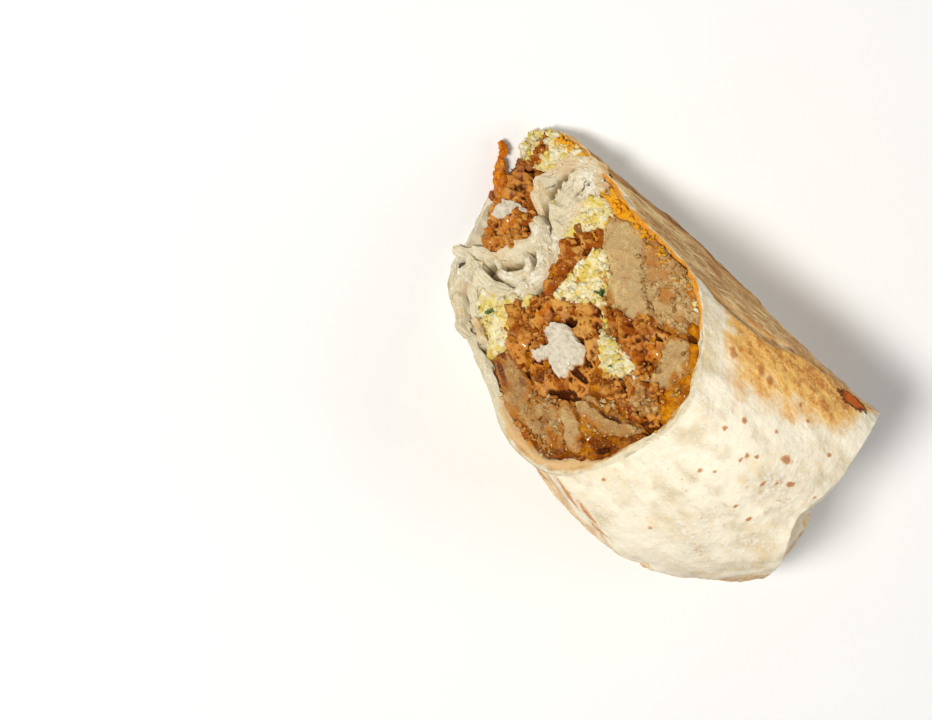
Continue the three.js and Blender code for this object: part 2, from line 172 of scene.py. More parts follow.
print("10 mm behind the cut's middle:", place_from_cut(10, *CUT_CENTRE).round(2).tolist())


# %% The room inside the sheet
def wall_share(angle):
    """The sheet's thickness as a share of the radius, thicker where it laps."""
    a = angle % TURN
    lap = ease(LAP_FROM - 0.3, LAP_FROM, a) * (1 - ease(LAP_TO, LAP_TO + 0.3, a))
    return (SHEET + LAP_EXTRA * lap) / around(CUT_RADII, a)


def place_inside(depth, y, z):
    """Like place_from_cut, but a few millimetres behind the cut it keeps clear of the sheet,
    which is dented there."""
    angle, reach = polar(y, z)
    clear = (1 - wall_share(angle)) * (1 - 0.12 * ease(3, 12, depth))
    reach = np.where(depth > 1.5, np.minimum(reach, clear), reach)
    return place(depth / (END_CENTRE[0] - cut_x(y, z)), angle, reach)


CUT_NORMAL = np.array([-1, CUT_SLOPE[0], CUT_SLOPE[1]]) / math.hypot(1, *CUT_SLOPE)
print("cut faces", np.round(CUT_NORMAL, 3).tolist())

# %% [markdown]
# ## Roughness worked out in numpy
#
# Food is lumpy at several sizes at once. Blender's displacement modifiers could do it, but
# a function of position is easier to mask and to reuse for colour. Two kinds are enough:
# smooth noise, summed over octaves, and cells, which give curds and crumbs their round lumps
# with sharp creases between them.

# %% Noise
def hashed(ix, iy, iz, seed):
    """A repeatable number from 0 to 1 for each lattice point, by mixing its whole numbers."""
    mixed = (ix.astype(np.int64) * 73856093) ^ (iy.astype(np.int64) * 19349663)
    mixed = (mixed ^ (iz.astype(np.int64) * 83492791) ^ (seed * 40503)) & 0xFFFFFFFF
    mixed = mixed.astype(np.uint32)
    mixed = (mixed ^ (mixed >> np.uint32(15))) * np.uint32(0x2C1B3C6D)
    mixed = (mixed ^ (mixed >> np.uint32(12))) * np.uint32(0x297A2D39)
    return (mixed ^ (mixed >> np.uint32(15))).astype(float) / 4294967296


def noise(points, size, octaves=1, seed=0):
    """Smooth noise from -1 to 1: hashed lattice values, eased between the eight corners of
    each cube. Each further octave has half the size and half the height."""
    total = np.zeros(points.shape[:-1])
    for octave in range(octaves):
        p = points / size * 2 ** octave + 17.3 * octave
        base = np.floor(p).astype(int)
        f = p - base
        f = f * f * (3 - 2 * f)
        value = 0
        for corner in range(8):
            o = [(corner >> axis) & 1 for axis in range(3)]
            weight = np.prod([f[..., a] if o[a] else 1 - f[..., a] for a in range(3)], axis=0)
            value = value + weight * hashed(*(base[..., a] + o[a] for a in range(3)), seed + octave)
        total += (2 * value - 1) * 0.5 ** octave
    return total


sample = np.random.default_rng(1).uniform(0, 50, (2000, 3))
sampled = noise(sample, 5, 3)
print("noise runs from", sampled.min().round(2), "to", sampled.max().round(2))


# %% Cells and lumps
def cells(points, size, seed=0):
    """Distances to the nearest and second nearest of one hashed point in each cube of the
    given size, in sizes, with the nearest one's own number from 0 to 1."""
    p = points / size
    base = np.floor(p).astype(int)
    first = np.full(p.shape[:-1], 9.0)
    second = first.copy()
    own = np.zeros_like(first)
    for step in np.ndindex(3, 3, 3):
        cube = [base[..., a] + step[a] - 1 for a in range(3)]
        away = sum((cube[a] + hashed(*cube, seed + 31 * a) - p[..., a]) ** 2 for a in range(3)) ** 0.5
        nearer = away < first
        second = np.where(nearer, first, np.minimum(second, away))
        own = np.where(nearer, hashed(*cube, seed + 97), own)
        first = np.where(nearer, away, first)
    return first, second, own


def lumps(points, size, seed=0):
    """Round lumps from 0 in the creases to 1 on top: a dome over each cell's point, each with
    its own height, and the cell's own number."""
    first, _, own = cells(points, size, seed)
    return np.clip(1 - (first / 0.85) ** 2, 0, 1) * (0.6 + 0.4 * own), own


print("lumps stand", lumps(sample, 5)[0].mean().round(2), "of their full height on average")

# %% [markdown]
# ## From a grid of points to a mesh
#
# A closed piece of food is a run of rings: each ring has as many points, and one point closes
# each end. That takes one array and no loop over vertices. Colour needs more than a place, so
# named numbers, such as how deep in a crease a point lies, ride on the vertices.

# %% Rings to a closed mesh
def ring_mesh(name, rings, numbers):
    """A closed mesh from points of shape (rings, sides, 3). The first and last rings shrink
    to their mean. The signed volume, a sum of triple products, decides the winding."""
    n_rings, sides = rings.shape[:2]
    ends = [rings[:1].mean((0, 1))[None], rings[-1:].mean((0, 1))[None]]
    points = np.concatenate([rings.reshape(-1, 3), *ends])
    k = np.arange(sides)
    nxt = (k + 1) % sides
    row = (np.arange(n_rings - 1) * sides)[:, None]
    quads = np.stack([row + k, row + nxt, row + sides + nxt, row + sides + k], -1).reshape(-1, 4)
    head, tail = n_rings * sides, n_rings * sides + 1
    last = (n_rings - 1) * sides
    fans = np.concatenate([
        np.stack([np.full(sides, head), nxt, k], -1),
        np.stack([last + k, last + nxt, np.full(sides, tail)], -1),
    ])
    a, b, c = points[quads[:, 0]], points[quads[:, 1]], points[quads[:, 2]]
    if np.einsum("ij,ij->i", a, np.cross(b, c)).sum() < 0:
        quads, fans = quads[:, ::-1], fans[:, ::-1]
    mesh = bpy.data.meshes.new(name)
    fill_mesh(mesh, points, [quads, fans])
    for key, value in numbers.items():
        write_number(mesh, key, np.concatenate([value.reshape(-1), [value[0].mean(), value[-1].mean()]]))
    return finish_object(name, mesh)


def write_number(mesh, key, value):
    """A named number on every vertex, which a finish reads by its name."""
    mesh.attributes.new(key, "FLOAT", "POINT").data.foreach_set("value", value.astype(np.float32))


def fill_mesh(mesh, points, face_arrays):
    """Puts points in millimetres and arrays of faces, one array for each number of corners,
    into a mesh in metres, shaded smooth. What would sink into the floor lies on it."""
    points = np.maximum(points, (-np.inf, -np.inf, 0))
    mesh.vertices.add(len(points))
    mesh.vertices.foreach_set("co", (points * MM).astype(np.float32).reshape(-1))
    corners = np.concatenate([faces.reshape(-1) for faces in face_arrays])
    totals = np.concatenate([np.full(len(faces), faces.shape[1]) for faces in face_arrays])
    starts = np.concatenate([[0], np.cumsum(totals)[:-1]])
    mesh.loops.add(len(corners))
    mesh.loops.foreach_set("vertex_index", corners.astype(np.int32))
    mesh.polygons.add(len(totals))
    mesh.polygons.foreach_set("loop_start", starts.astype(np.int32))
    mesh.polygons.foreach_set("use_smooth", np.ones(len(totals), bool))
    mesh.update(calc_edges=True)
    mesh.validate()


def finish_object(name, mesh):
    """Links the mesh's object into the scene, at the origin."""
    piece = bpy.data.objects.new(name, mesh)
    bpy.context.scene.collection.objects.link(piece)
    return piece


def surface_normals(rings):
    """Unit normals of a grid of rings: the cross product of the steps along and around."""
    down = np.gradient(rings, axis=0)
    across = np.roll(rings, -1, 1) - np.roll(rings, 1, 1)
    normal = np.cross(down, across)
    return normal / (np.linalg.norm(normal, axis=-1, keepdims=True) + 1e-9)


def triangles(piece):
    """How many triangles a piece has once its faces are split."""
    return sum(len(p.vertices) - 2 for p in piece.data.polygons)


print("meshes of the packed model:", len(bpy.data.meshes))

# %% [markdown]
# ## What lies where on the cut
#
# The cut shows twenty-two pieces of filling between folds of the sheet. Each filling owns the
# points that are nearest to its ellipse, less what the wrap and the folds take. Modelled by
# hand, such neighbours would overlap or leave holes. Shared out by one rule, they meet.

# %% The fillings, the pocket and the folds, the same as the solids'
FILLINGS = {
    # name: y, z, half length, half width, turn in degrees, how far proud of the cut
    "chicken_pocket": (2.5, 10.6, 11.3, 7, 172, 2.4),
    "chicken_strip": (3, 31, 7, 2.7, 15, 0.8),
    "chicken_lower": (-16.8, 39.2, 13.1, 10.6, 82, 1.2),
    "chicken_right": (-2.8, 56.8, 7.6, 5.4, 88, 1.4),
    "chicken_crumb": (-14.5, 62.3, 7.2, 3.9, 72, 0.4),
    "egg_top": (19.6, 8.6, 9.5, 4.4, 73, 1.8),
    "egg_upper": (14.3, 29.5, 4.8, 2.5, 30, 1.2),
    "egg_middle": (1.7, 36, 7.5, 4, 30, 0.8),
    "egg_left": (-20.2, 23.5, 7.1, 4, 31, 1),
    "egg_centre": (-7.6, 54.7, 5.8, 2.9, 107, 0.4),
    "potato_slab": (10.3, 44.1, 11.3, 4.7, 134, 0.6),
    "potato_crumble": (11.5, 57.4, 11.4, 5.1, 103, 0.5),
    "potato_right": (-0.9, 67.4, 7.1, 3.9, 178, 0.2),
    "potato_left": (-30.1, 33.9, 6.2, 3.1, 123, 0),
    "potato_corner": (-32.8, 45.2, 6.2, 4.3, 86, 0),
    "potato_oval": (-29.2, 53.4, 5.5, 2.2, 131, 0.5),
    "potato_long": (-21.4, 60.4, 10.1, 2.6, 77, 0.4),
    "cheese_top": (22, 33.4, 6.7, 3.6, 108, 0.3),
    "cheese_side": (6.4, 69.2, 9.1, 2.1, 133, 0),
    "cheese_patch": (-13.4, 52, 5.8, 2.4, 2, 0),
    "cheese_bottom": (-25.3, 67.3, 16.3, 3.6, 42, -0.4),
    "cheese_corner": (-7.6, 74.7, 6.1, 4.9, 20, 0),
}
POCKET = (-5.6, 5.1, 5.9, 1.7, 175, 0)
FOLD_HALF = 1.05
FOLDS = {
    "pocket_floor": [(-15.5, 1.5), (-11.3, 7.8), (-9.1, 13.2), (-4.8, 16.6), (-0.1, 19.3), (3.7, 19)],
    "roll": [
        (2.3, 19.6), (-1.2, 23.3), (-6.2, 25.2), (-10.8, 23.8), (-14.3, 19.2), (-15.6, 13.9), (-13.6, 8.4),
    ],
    "roll_core": [(-3.2, 19.4), (-6.9, 21.8), (-10.4, 20.4), (-11.6, 16.6), (-9.6, 13.6)],
    "side_layer": [(-13, 6.4), (-19.6, 7.6), (-23.6, 10.2), (-29.5, 15.8)],
    "side_inner": [(-14.9, 11.4), (-20.2, 12.2), (-23.4, 15.3), (-27.6, 21.5)],
    "ruffle_outer": [
        (24.8, 26.2), (23.6, 21.4), (21, 16.9), (16.7, 13.5), (11.5, 13.4),
        (6.9, 15.3), (3.7, 19), (0.6, 23), (-3.4, 25.8), (-7, 26.4),
    ],
    "ruffle_middle": [
        (22.4, 26.4), (21.6, 22.6), (17.6, 20.1), (11.9, 20.2), (6.8, 22), (2, 25.6), (-3.6, 27.3),
    ],
    "ruffle_inner": [(21.4, 29), (20.4, 26.2), (17.4, 24.6), (13.6, 25.4), (9.9, 24.3), (4.6, 24.6)],
}
print("fillings:", len(FILLINGS), "folds:", len(FOLDS))


# %% Curves, ellipses and grids on the cut
LAST_SHARE = 0.9999
FAR_AWAY = 99.0


def spline(line, share):
    """A cubic curve through the points of a line, at shares of its spans from 0 to
    LAST_SHARE, which is just short of 1 so that it still falls in the last span."""
    p = np.array(line, float)
    p = np.concatenate([p[:1], p, p[-1:], p[-1:]])
    t = share * (len(line) - 1)
    i = np.floor(t).astype(int)
    return cubic(p[i], p[i + 1], p[i + 2], p[np.minimum(i + 3, len(p) - 1)], (t - i)[..., None])


def ellipse_distance(shape, y, z):
    """Signed distance, nearly, to a filling's ellipse: the scaled radius less one, times
    the half width."""
    turn = math.radians(shape[4])
    dy, dz = y - shape[0], z - shape[1]
    along = (dy * math.cos(turn) + dz * math.sin(turn)) / shape[2]
    across = (dz * math.cos(turn) - dy * math.sin(turn)) / shape[3]
    return (np.hypot(along, across) - 1) * shape[3]


GRID_STEP, GRID_FROM, GRID_SIZE = 0.25, (-48.0, -8.0), (360, 380)
grid_y = GRID_FROM[0] + GRID_STEP * np.arange(GRID_SIZE[0])[:, None] + np.zeros(GRID_SIZE)
grid_z = GRID_FROM[1] + GRID_STEP * np.arange(GRID_SIZE[1])[None, :] + np.zeros(GRID_SIZE)


def line_grid(lines, steps):
    """On the grid, the distance to the nearest of some curves, each taken as its steps."""
    nearest = np.full(GRID_SIZE, FAR_AWAY)
    for line in lines:
        for y, z in spline(line, np.linspace(0, LAST_SHARE, steps)):
            nearest = np.minimum(nearest, np.hypot(grid_y - y, grid_z - z))
    return nearest


fold_grid = line_grid(FOLDS.values(), 80)
grid_points = np.stack([grid_y, grid_z, 0 * grid_y], -1)
sway_grids = [
    0.75 * noise(grid_points, 4.5, 3, seed) + 0.3 * noise(grid_points, 1.3, 2, seed + 5) for seed in (51, 52)
]


def read_grid(grid, y, z, corner=GRID_FROM, step=GRID_STEP):
    """A grid's value at points of the cut, with linear steps between its entries."""
    u = np.clip((y - corner[0]) / step, 0, grid.shape[0] - 1.01)
    v = np.clip((z - corner[1]) / step, 0, grid.shape[1] - 1.01)
    i, j = np.floor(u).astype(int), np.floor(v).astype(int)
    f, g = u - i, v - j
    near = grid[i, j] * (1 - g) + grid[i, j + 1] * g
    far = grid[i + 1, j] * (1 - g) + grid[i + 1, j + 1] * g
    return near * (1 - f) + far * f


def swayed(y, z):
    """Points moved a little by noise, so that neighbours meet along uneven lines."""
    return y + read_grid(sway_grids[0], y, z), z + read_grid(sway_grids[1], y, z)


print("neighbours sway by up to", np.abs(sway_grids).max().round(2), "mm")


# %% Each filling's share of the cut
VISIBLE_GAP = 0.12
OUTLINE_STEPS = 72


def room(name, y, z):
    """How far inside its own share of the cut a point of a filling lies, in millimetres."""
    at = swayed(y, z)
    own = ellipse_distance(FILLINGS[name], *at)
    rivals = [shape for other, shape in FILLINGS.items() if other != name] + [POCKET]
    slack = np.min([ellipse_distance(shape, *at) for shape in rivals], axis=0) - own
    angle, reach = polar(y, z)
    wall = (1 - wall_share(angle) - reach) * around(CUT_RADII, angle)
    return np.minimum(np.minimum(slack, wall), read_grid(fold_grid, y, z) - FOLD_HALF) - VISIBLE_GAP


def held_middle(name):
    """The point of a filling's own area with most room to its rivals, near the area's mean."""
    y0, z0, long = FILLINGS[name][:3]
    steps = np.arange(-long * 1.4, long * 1.4, 0.5)
    y, z = np.meshgrid(y0 + steps, z0 + steps)
    slack = room(name, y, z)
    held = slack > 0
    score = np.minimum(slack, 3) - np.hypot(y - y[held].mean(), z - z[held].mean())
    best = np.argmax(np.where(held, score, -FAR_AWAY))
    return y.flat[best], z.flat[best]


def outline(name, middle, angles):
    """The reach of a filling in each direction from its middle: the first radius without
    room, found on steps of 0.1 mm and evened out over three neighbours."""
    radii = np.arange(0, 30, 0.1)
    y = middle[0] + radii[:, None] * np.cos(angles)
    z = middle[1] + radii[:, None] * np.sin(angles)
    out = room(name, y, z) <= 0
    out[-1] = True
    reach = radii[np.argmax(out, axis=0)]
    return (np.roll(reach, 1) + 2 * reach + np.roll(reach, -1)) / 4


def food_distance(y, z):
    """Distance to the nearest filling's ellipse."""
    return np.min([ellipse_distance(shape, y, z) for shape in FILLINGS.values()], axis=0)


areas = {}
for name in FILLINGS:
    angles = np.linspace(0, TURN, OUTLINE_STEPS, endpoint=False)
    areas[name] = 0.5 * TURN / OUTLINE_STEPS * (outline(name, held_middle(name), angles) ** 2).sum()
print("areas on the cut, mm2:", {name: round(area) for name, area in areas.items()})

# %% [markdown]
# ## Materials as expressions
#
# A food's colour is a base with spots, stains and shading laid over it by masks. Drawn as
# nodes by hand, that is hard to follow. Here a small class wraps a number that varies over
# a surface, so that a mask is written as a sum or product and adds its own Math nodes.

# %% A number on a surface
class Number:
    """An output socket whose operators add Math nodes."""

    def __init__(self, finish, socket):
        self.finish, self.socket = finish, socket

    def math(self, operation, *inputs):
        """The Math node of an operation's name, on these inputs."""
        return self.finish.node("ShaderNodeMath", {"operation": operation}, dict(enumerate(inputs)))

    def __add__(self, other):
        return self.math("ADD", self, other)

    def __sub__(self, other):
        return self.math("SUBTRACT", self, other)

    def __rsub__(self, other):
        return self.math("SUBTRACT", other, self)

    def __mul__(self, other):
        return self.math("MULTIPLY", self, other)

    __radd__, __rmul__ = __add__, __mul__

    def rise(self, lo, hi):
        """0 below lo and 1 above hi, eased."""
        sockets = {"Value": self, "From Min": lo, "From Max": hi}
        return self.finish.node("ShaderNodeMapRange", {"interpolation_type": "SMOOTHSTEP"}, sockets)


def colour(hex_code):
    """The linear colour of six hexadecimal digits of display colour."""
    display = [int(hex_code[i:i + 2], 16) / 255 for i in (0, 2, 4)]
    return [c / 12.92 if c <= 0.04045 else ((c + 0.055) / 1.055) ** 2.4 for c in display] + [1]


print("a display colour in linear light:", np.round(colour("dca656"), 3).tolist())

# %% A finish that holds its nodes
GRAIN_ROUGHNESS = 0.55


class Finish:
    """A material with its Principled shader and the shorthand that its colours need."""

    def __init__(self, name, **constants):
        self.material = bpy.data.materials.new(name)
        self.material.use_nodes = True
        self.nodes = self.material.node_tree.nodes
        self.shader = self.nodes["Principled BSDF"]
        for socket, value in constants.items():
            self.shader.inputs[socket.replace("_", " ")].default_value = value
        self.place = self.node("ShaderNodeTexCoord", {}, {}, output="Object").socket

    def node(self, kind, settings, inputs, output=0):
        """Adds a node: its settings first, then the values or links of its sockets."""
        node = self.nodes.new(kind)
        for key, value in settings.items():
            setattr(node, key, value)
        for key, value in inputs.items():
            value = value.socket if isinstance(value, Number) else value
            if isinstance(value, bpy.types.NodeSocket):
                self.material.node_tree.links.new(value, node.inputs[key])
            else:
                node.inputs[key].default_value = value
        return Number(self, node.outputs[output])

    def grain(self, size, detail=3, stretch=(1, 1, 1), turn=(0, 0, 0)):
        """Noise from 0 to 1 with features of a size in millimetres, longer where stretched."""
        scale = [1 / s for s in stretch]
        vector = self.node("ShaderNodeMapping", {}, {"Vector": self.place, "Scale": scale, "Rotation": turn})
        inputs = {"Vector": vector, "Scale": 1 / (size * MM), "Detail": detail, "Roughness": GRAIN_ROUGHNESS}
        return self.node("ShaderNodeTexNoise", {}, inputs)

    def __getitem__(self, name):
        """A named number that rides on the vertices, written as finish["name"]."""
        return self.node("ShaderNodeAttribute", {"attribute_name": name}, {}, output="Fac")

    def mix(self, below, above, share):
        """One colour laid over another by a share. Colours are hexadecimal or sockets."""
        below, above = (colour(c) if isinstance(c, str) else c for c in (below, above))
        return self.node("ShaderNodeMix", {"data_type": "RGBA"}, {0: share, 6: below, 7: above}, output=2)

    def finish(self, base, roughness, height, depth):
        """Feeds the shader's colour and roughness, and a bump of a depth in millimetres."""
        links = self.material.node_tree.links
        links.new(base.socket, self.shader.inputs["Base Color"])
        links.new(roughness.socket, self.shader.inputs["Roughness"])
        bump = self.node("ShaderNodeBump", {}, {"Strength": 1.0, "Distance": depth * MM, "Height": height})
        links.new(bump.socket, self.shader.inputs["Normal"])
        return self.material


def food(name, glow, depth, tint, shine):
    """A finish that light enters: how much of it, how many millimetres deep, how far red,
    green and blue go in that, and the shader's specular level."""
    return Finish(name, Subsurface_Weight=glow, Subsurface_Scale=depth * MM, Subsurface_Radius=tint,
                  Specular_IOR_Level=shine)


print("a finish can add:", [name for name in vars(Finish) if not name.startswith("_")])

# %% [markdown]
# ## The tortilla's finish
#
# Wheat flour leaves a tortilla cream, with greyer and more translucent patches where the
# dough is thin or damp and small toasted blisters. Griddling turns the flat sides golden,
# with brown streaks along them. Each of these is a mask: broad ones ride on the vertices,
# and grain in the material makes their edges ragged.

# %% Tortilla colours and grain
def tortilla_finish():
    """Cream dough with griddle marks, spots, char, the inside's wetter look and sauce stains, with painted
    highlight and shade patches inside and painted shade between the layers and in the hollow.
    """
    f = food("tortilla_dough", 0.08, 3, (1, 0.75, 0.45), 0.2)
    broad, patch = f.grain(17), f.grain(8, 6, stretch=(1.4, 1, 1))
    fine, flecks, freckles = f.grain(1.1, 4), f.grain(1.7, 2), f.grain(0.6, 2)
    streaks, thin_spots = f.grain(2.2, 4, stretch=(4, 1, 1)), f.grain(6, 4, stretch=(1.5, 1, 1))
    smears = f.grain(1.5, 4, stretch=(4, 1, 1))
    # Cream dough: damp and thin patches, buttery and floury ones, and small toasted flecks
    base = f.mix("fdf2da", "dcc8a0", (patch * 0.8 + broad * 0.45).rise(0.54, 0.84) * 0.77)
    base = f.mix(base, "cdbb94", (thin_spots * 0.8 + broad * 0.4 + fine * 0.15).rise(0.64, 0.88) * 0.62)
    base = f.mix(base, "f1d092", (broad * 0.7 + streaks * 0.5).rise(0.6, 0.85) * 0.65)
    base = f.mix(base, "fffcf2", (fine * 0.5 + patch * 0.4 + flecks * 0.2).rise(0.57, 0.72) * 0.75)
    base = f.mix(base, "cf9c62", (flecks * 0.7 + patch * 0.35 + freckles * 0.15).rise(0.69, 0.8) * 0.5)
    # The golden side, with a little scorch
    gold = (f["gold"] * 1.3 + patch * 0.9 + smears * 0.6 + fine * 0.5 - 1.3).rise(0.0, 0.85)
    golden = f.mix("fac766", "e09a3c", (smears * 0.5 + patch * 0.5 + fine * 0.5).rise(0.6, 0.95))
    golden = f.mix(golden, "fbe0a8", (streaks * 0.7 + fine * 0.4).rise(0.6, 0.78) * 0.7)
    base = f.mix(base, golden, gold * 0.92)
    scorch = (f["gold"] * 0.75 + smears * 0.5 + flecks * 0.5 + freckles * 0.5).rise(1.38, 1.65)
    base = f.mix(base, "b5662a", scorch * 0.75)
    # The sides that lay on the hot plate, with tanned and burnt streaks along their borders
    pressed = f.mix("ffdc94", "be7e34", (patch * 0.4 + smears * 0.55 + fine * 0.3).rise(0.48, 0.72))
    base = f.mix(base, pressed, f["griddle"] * 0.9)
    base = f.mix(base, "a0682a", (f["griddle"] + smears * 0.8 + streaks * 0.4).rise(1.66, 1.86) * 0.7)
    tanned = (f["griddle"] * 0.5 + streaks * 0.5 + patch * 0.5 + f["border"] * 0.6).rise(1.0, 1.4)
    base = f.mix(base, "dba050", tanned * 0.8)
    burnt = f["griddle"] * 0.3 + streaks * 0.7 + smears * 0.5 + f["border"] * 0.75
    base = f.mix(base, "7c4216", burnt.rise(1.3, 1.6) * 0.9)
    # Toasted spots and char
    toast = (f["toast"] + fine * 0.7 + patch * 0.2 + freckles * 0.5 - 0.7).rise(0.2, 0.75)
    spot = f.mix("d69656", "ac682e", (fine * 0.5 + f["toast"] * 0.4).rise(0.4, 0.7))
    base = f.mix(base, spot, toast * 0.85)
    char = (f["char"] + fine * 0.6 + freckles * 0.4 - 0.5).rise(0.3, 0.55)
    singed = (f["char"] + smears * 0.9 + fine * 0.6 - 0.85).rise(0.35, 0.85)
    base = f.mix(base, f.mix("4e2008", "cc6218", singed), char)
    # The inside, which steam has kept damp, with painted highlight patches and grey-olive patches of painted
    # shade
    inside = f.mix("e6dabb", "bca878", (patch * 0.7 + fine * 0.4).rise(0.42, 0.8))
    # Painted highlight patches
    inside = f.mix(inside, "fffaea", (fine * 0.4 + patch * 0.6 + freckles * 0.1).rise(0.55, 0.7) * 0.8)
    inside = f.mix(inside, "c29650", (streaks * 0.8 + fine * 0.3).rise(0.66, 0.88) * 0.5)
    # Grey-olive patches of painted shade
    inside = f.mix(inside, "9a8860", (f.grain(2.4) * 0.7 + freckles * 0.2).rise(0.58, 0.75) * 0.45)
    base = f.mix(base, inside, f["inside"])
    # Sauce that has soaked in, and painted shade between the dough's layers, deep in the hollow and between
    # the folds, with dark lines along the torn edge's layers
    oil = f["stain"] + fine * 0.35 + patch * 0.3 - 0.33
    base = f.mix(base, "dcb070", oil.rise(0.05, 0.45) * 0.8)
    base = f.mix(base, "e8980c", oil.rise(0.45, 0.9) * 0.9)
    # Painted shade by the line number
    base = f.mix(base, "7c6434", (f["line"] + fine * 0.2 - 0.1).rise(0.1, 0.95) * 0.85)
    rough = 0.65 + fine * 0.2 - f["stain"] * 0.3 - f["inside"] * 0.25
    height = fine * 0.6 + flecks * 0.4 + streaks * 0.4 + smears * 0.4
    return f.finish(base, rough, height, 0.45)


# The finish of each slot
FINISHES = {"tortilla": tortilla_finish()}
print("tortilla", len(FINISHES["tortilla"].node_tree.nodes), "nodes")

# %% [markdown]
# ## The fillings' finishes
#
# All the fillings have met the same sauce, so its colours, its painted glints and its glossy
# specks are made once and laid over each food where its vertices say that sauce lies. Four
# numbers from the shapes do most of the work: pit is 0 in a crease and 1 on a crest, and by
# it the finishes paint shade in the creases and highlights on the crests; tone varies from
# lump to lump, and light and orange mark paler and better fried batter.

# %% Sauce and fat
# The slots of the foods
CHICKEN, EGG, POTATO, CHEESE = "breaded_chicken", "scrambled_egg", "potato", "melted_cheese"


def amber(f, coarse, fine):
    """Melted cheese and meat juices: from bright yellow-orange to a darker red-brown, with painted glints."""
    orange = f.mix("b86a02", "dc9208", (fine * 0.4 + coarse * 0.6).rise(0.44, 0.62))
    bright = f.mix(orange, "f2aa22", f["amber"].rise(0.8, 1))
    dark = f.mix("743600", "aa6206", (coarse * 0.8 + fine * 0.3).rise(0.45, 0.7))
    blend = f.mix(dark, bright, (f["amber"] * 0.9 + coarse * 0.7 - 0.3).rise(0.15, 0.85))
    # Painted glints: tiny pale yellow specks laid into the colour
    return f.mix(blend, "ffdf98", f.grain(0.42, 2).rise(0.66, 0.72) * 0.7)


def wet(f, share):
    """Specks of fat that glint, closer together where sauce lies."""
    specks = (f.grain(0.7, 2) + share * 0.05).rise(0.6, 0.66)
    f.material.node_tree.links.new(specks.socket, f.shader.inputs["Coat Weight"])
    f.shader.inputs["Coat Roughness"].default_value = 0.12


print("foods under the same sauce:", CHICKEN, EGG, POTATO, CHEESE)


# %% Fried chicken
def chicken_finish():
    """A brown crumbled crust with painted highlights on its crests and painted shade in its creases, round
    white meat with painted shade in its cracks.
    """
    f = food("fried_chicken", 0.06, 2, (1, 0.55, 0.3), 0.04)
    coarse, fine, tiny = f.grain(3.5), f.grain(1.2, 4), f.grain(0.45, 2)
    warmth = f["tone"] * 0.9 + coarse * 0.4 + f["light"] * 0.4 + fine * 0.25
    crust = f.mix("9c4e0e", "d89242", warmth.rise(0.48, 1.06))
    orange = (f.grain(2.6) * 0.8 + tiny * 0.25).rise(0.54, 0.7) * 0.35 + f["orange"] * 0.75
    crust = f.mix(crust, f.mix("bc5a06", "e28c1a", (fine * 0.7 + tiny * 0.3).rise(0.4, 0.6)), orange)
    pale = f["light"] * 0.55 + coarse * 0.4 + fine * 0.4 + tiny * 0.3
    crust = f.mix(crust, "dca656", pale.rise(0.62, 1.05) * 0.85)
    crust = f.mix(crust, "b88058", (f.grain(4.5, 2) + tiny * 0.3).rise(0.68, 0.84) * 0.5)
    # Painted highlights on the crust's crests
    crust = f.mix(crust, "e0a24c", (f["pit"] * 0.9 + fine * 0.45 + tiny * 0.4).rise(1.1, 1.4) * 0.65)
    # Painted shade in the creases, darkest in the deepest
    crust = f.mix(crust, "783408", (1.0 - f["pit"] * 1.3 - fine * 0.3).rise(0.1, 0.6) * 0.7)
    crust = f.mix(crust, "421a04", (0.7 - f["pit"] * 1.4 - fine * 0.25).rise(0.02, 0.4) * 0.9)
    fibre = f.grain(0.9, stretch=(1, 1, 5), turn=(0.7, 0, 0))
    flesh = f.mix("e2d8c2", "bcae94", (fibre * 0.7 + coarse * 0.4).rise(0.42, 0.78))
    # Painted shade in the cracks of the white meat
    flesh = f.mix(flesh, "a8825a", (0.7 - f["pit"] * 1.1 - fine * 0.2).rise(0.1, 0.5) * 0.7)
    meat = (f["meat"] + fine * 0.3 - 0.15).rise(0.4, 0.55)
    base = f.mix(crust, flesh, meat)
    base = f.mix(base, amber(f, coarse, fine), (f["sauce"] + fine * 0.5 - 0.35).rise(0.3, 0.8) * 0.8)
    wet(f, f["sauce"] + 0.12)
    rough = 0.5 + fine * 0.3 - f["sauce"] * 0.3
    height = (fine * 0.5 + tiny * 0.6) * (1.15 - meat * 0.8) + meat * fibre * 0.35
    return f.finish(base, rough, height, 0.5)


FINISHES[CHICKEN] = chicken_finish()
print(CHICKEN, len(FINISHES[CHICKEN].node_tree.nodes), "nodes")


# %% Scrambled egg
def egg_finish():
    """Pale curds, a little paler on their crests, yellower where butter lies, with painted olive shade in the
    creases and browned specks.
    """
    f = food("egg_curd", 0.2, 3, (1, 0.85, 0.4), 0.1)
    coarse, fine = f.grain(4, 2), f.grain(0.9)
    # Paler by tone, patches and batter, and a little on the crests, which is a painted highlight
    pale = f["tone"] * 0.6 + coarse * 0.8 + f["light"] * 0.7 + f["pit"] * 0.2
    base = f.mix("e4ca5a", "f3e9c2", pale.rise(0.55, 1.05))
    base = f.mix(base, "e6c022", (f.grain(2.4, 2) + fine * 0.2).rise(0.62, 0.8) * 0.6)
    # Painted shade: dark olive in the creases
    base = f.mix(base, "aa8420", (0.8 - f["pit"] * 1.2 - fine * 0.3).rise(0.1, 0.65) * 0.7)
    soaked = (f["sauce"] + coarse * 0.6 + fine * 0.3 - 0.5).rise(0.25, 0.7)
    base = f.mix(base, amber(f, coarse, fine), soaked * 0.8)
    base = f.mix(base, "84400f", (f["brown"] + fine * 0.3 - 0.15).rise(0.25, 0.6) * 0.9)
    wet(f, f["sauce"] * 0.7 + 0.15)
    return f.finish(base, 0.4 + fine * 0.3, fine, 0.3)


FINISHES[EGG] = egg_finish()
print(EGG, len(FINISHES[EGG].node_tree.nodes), "nodes")


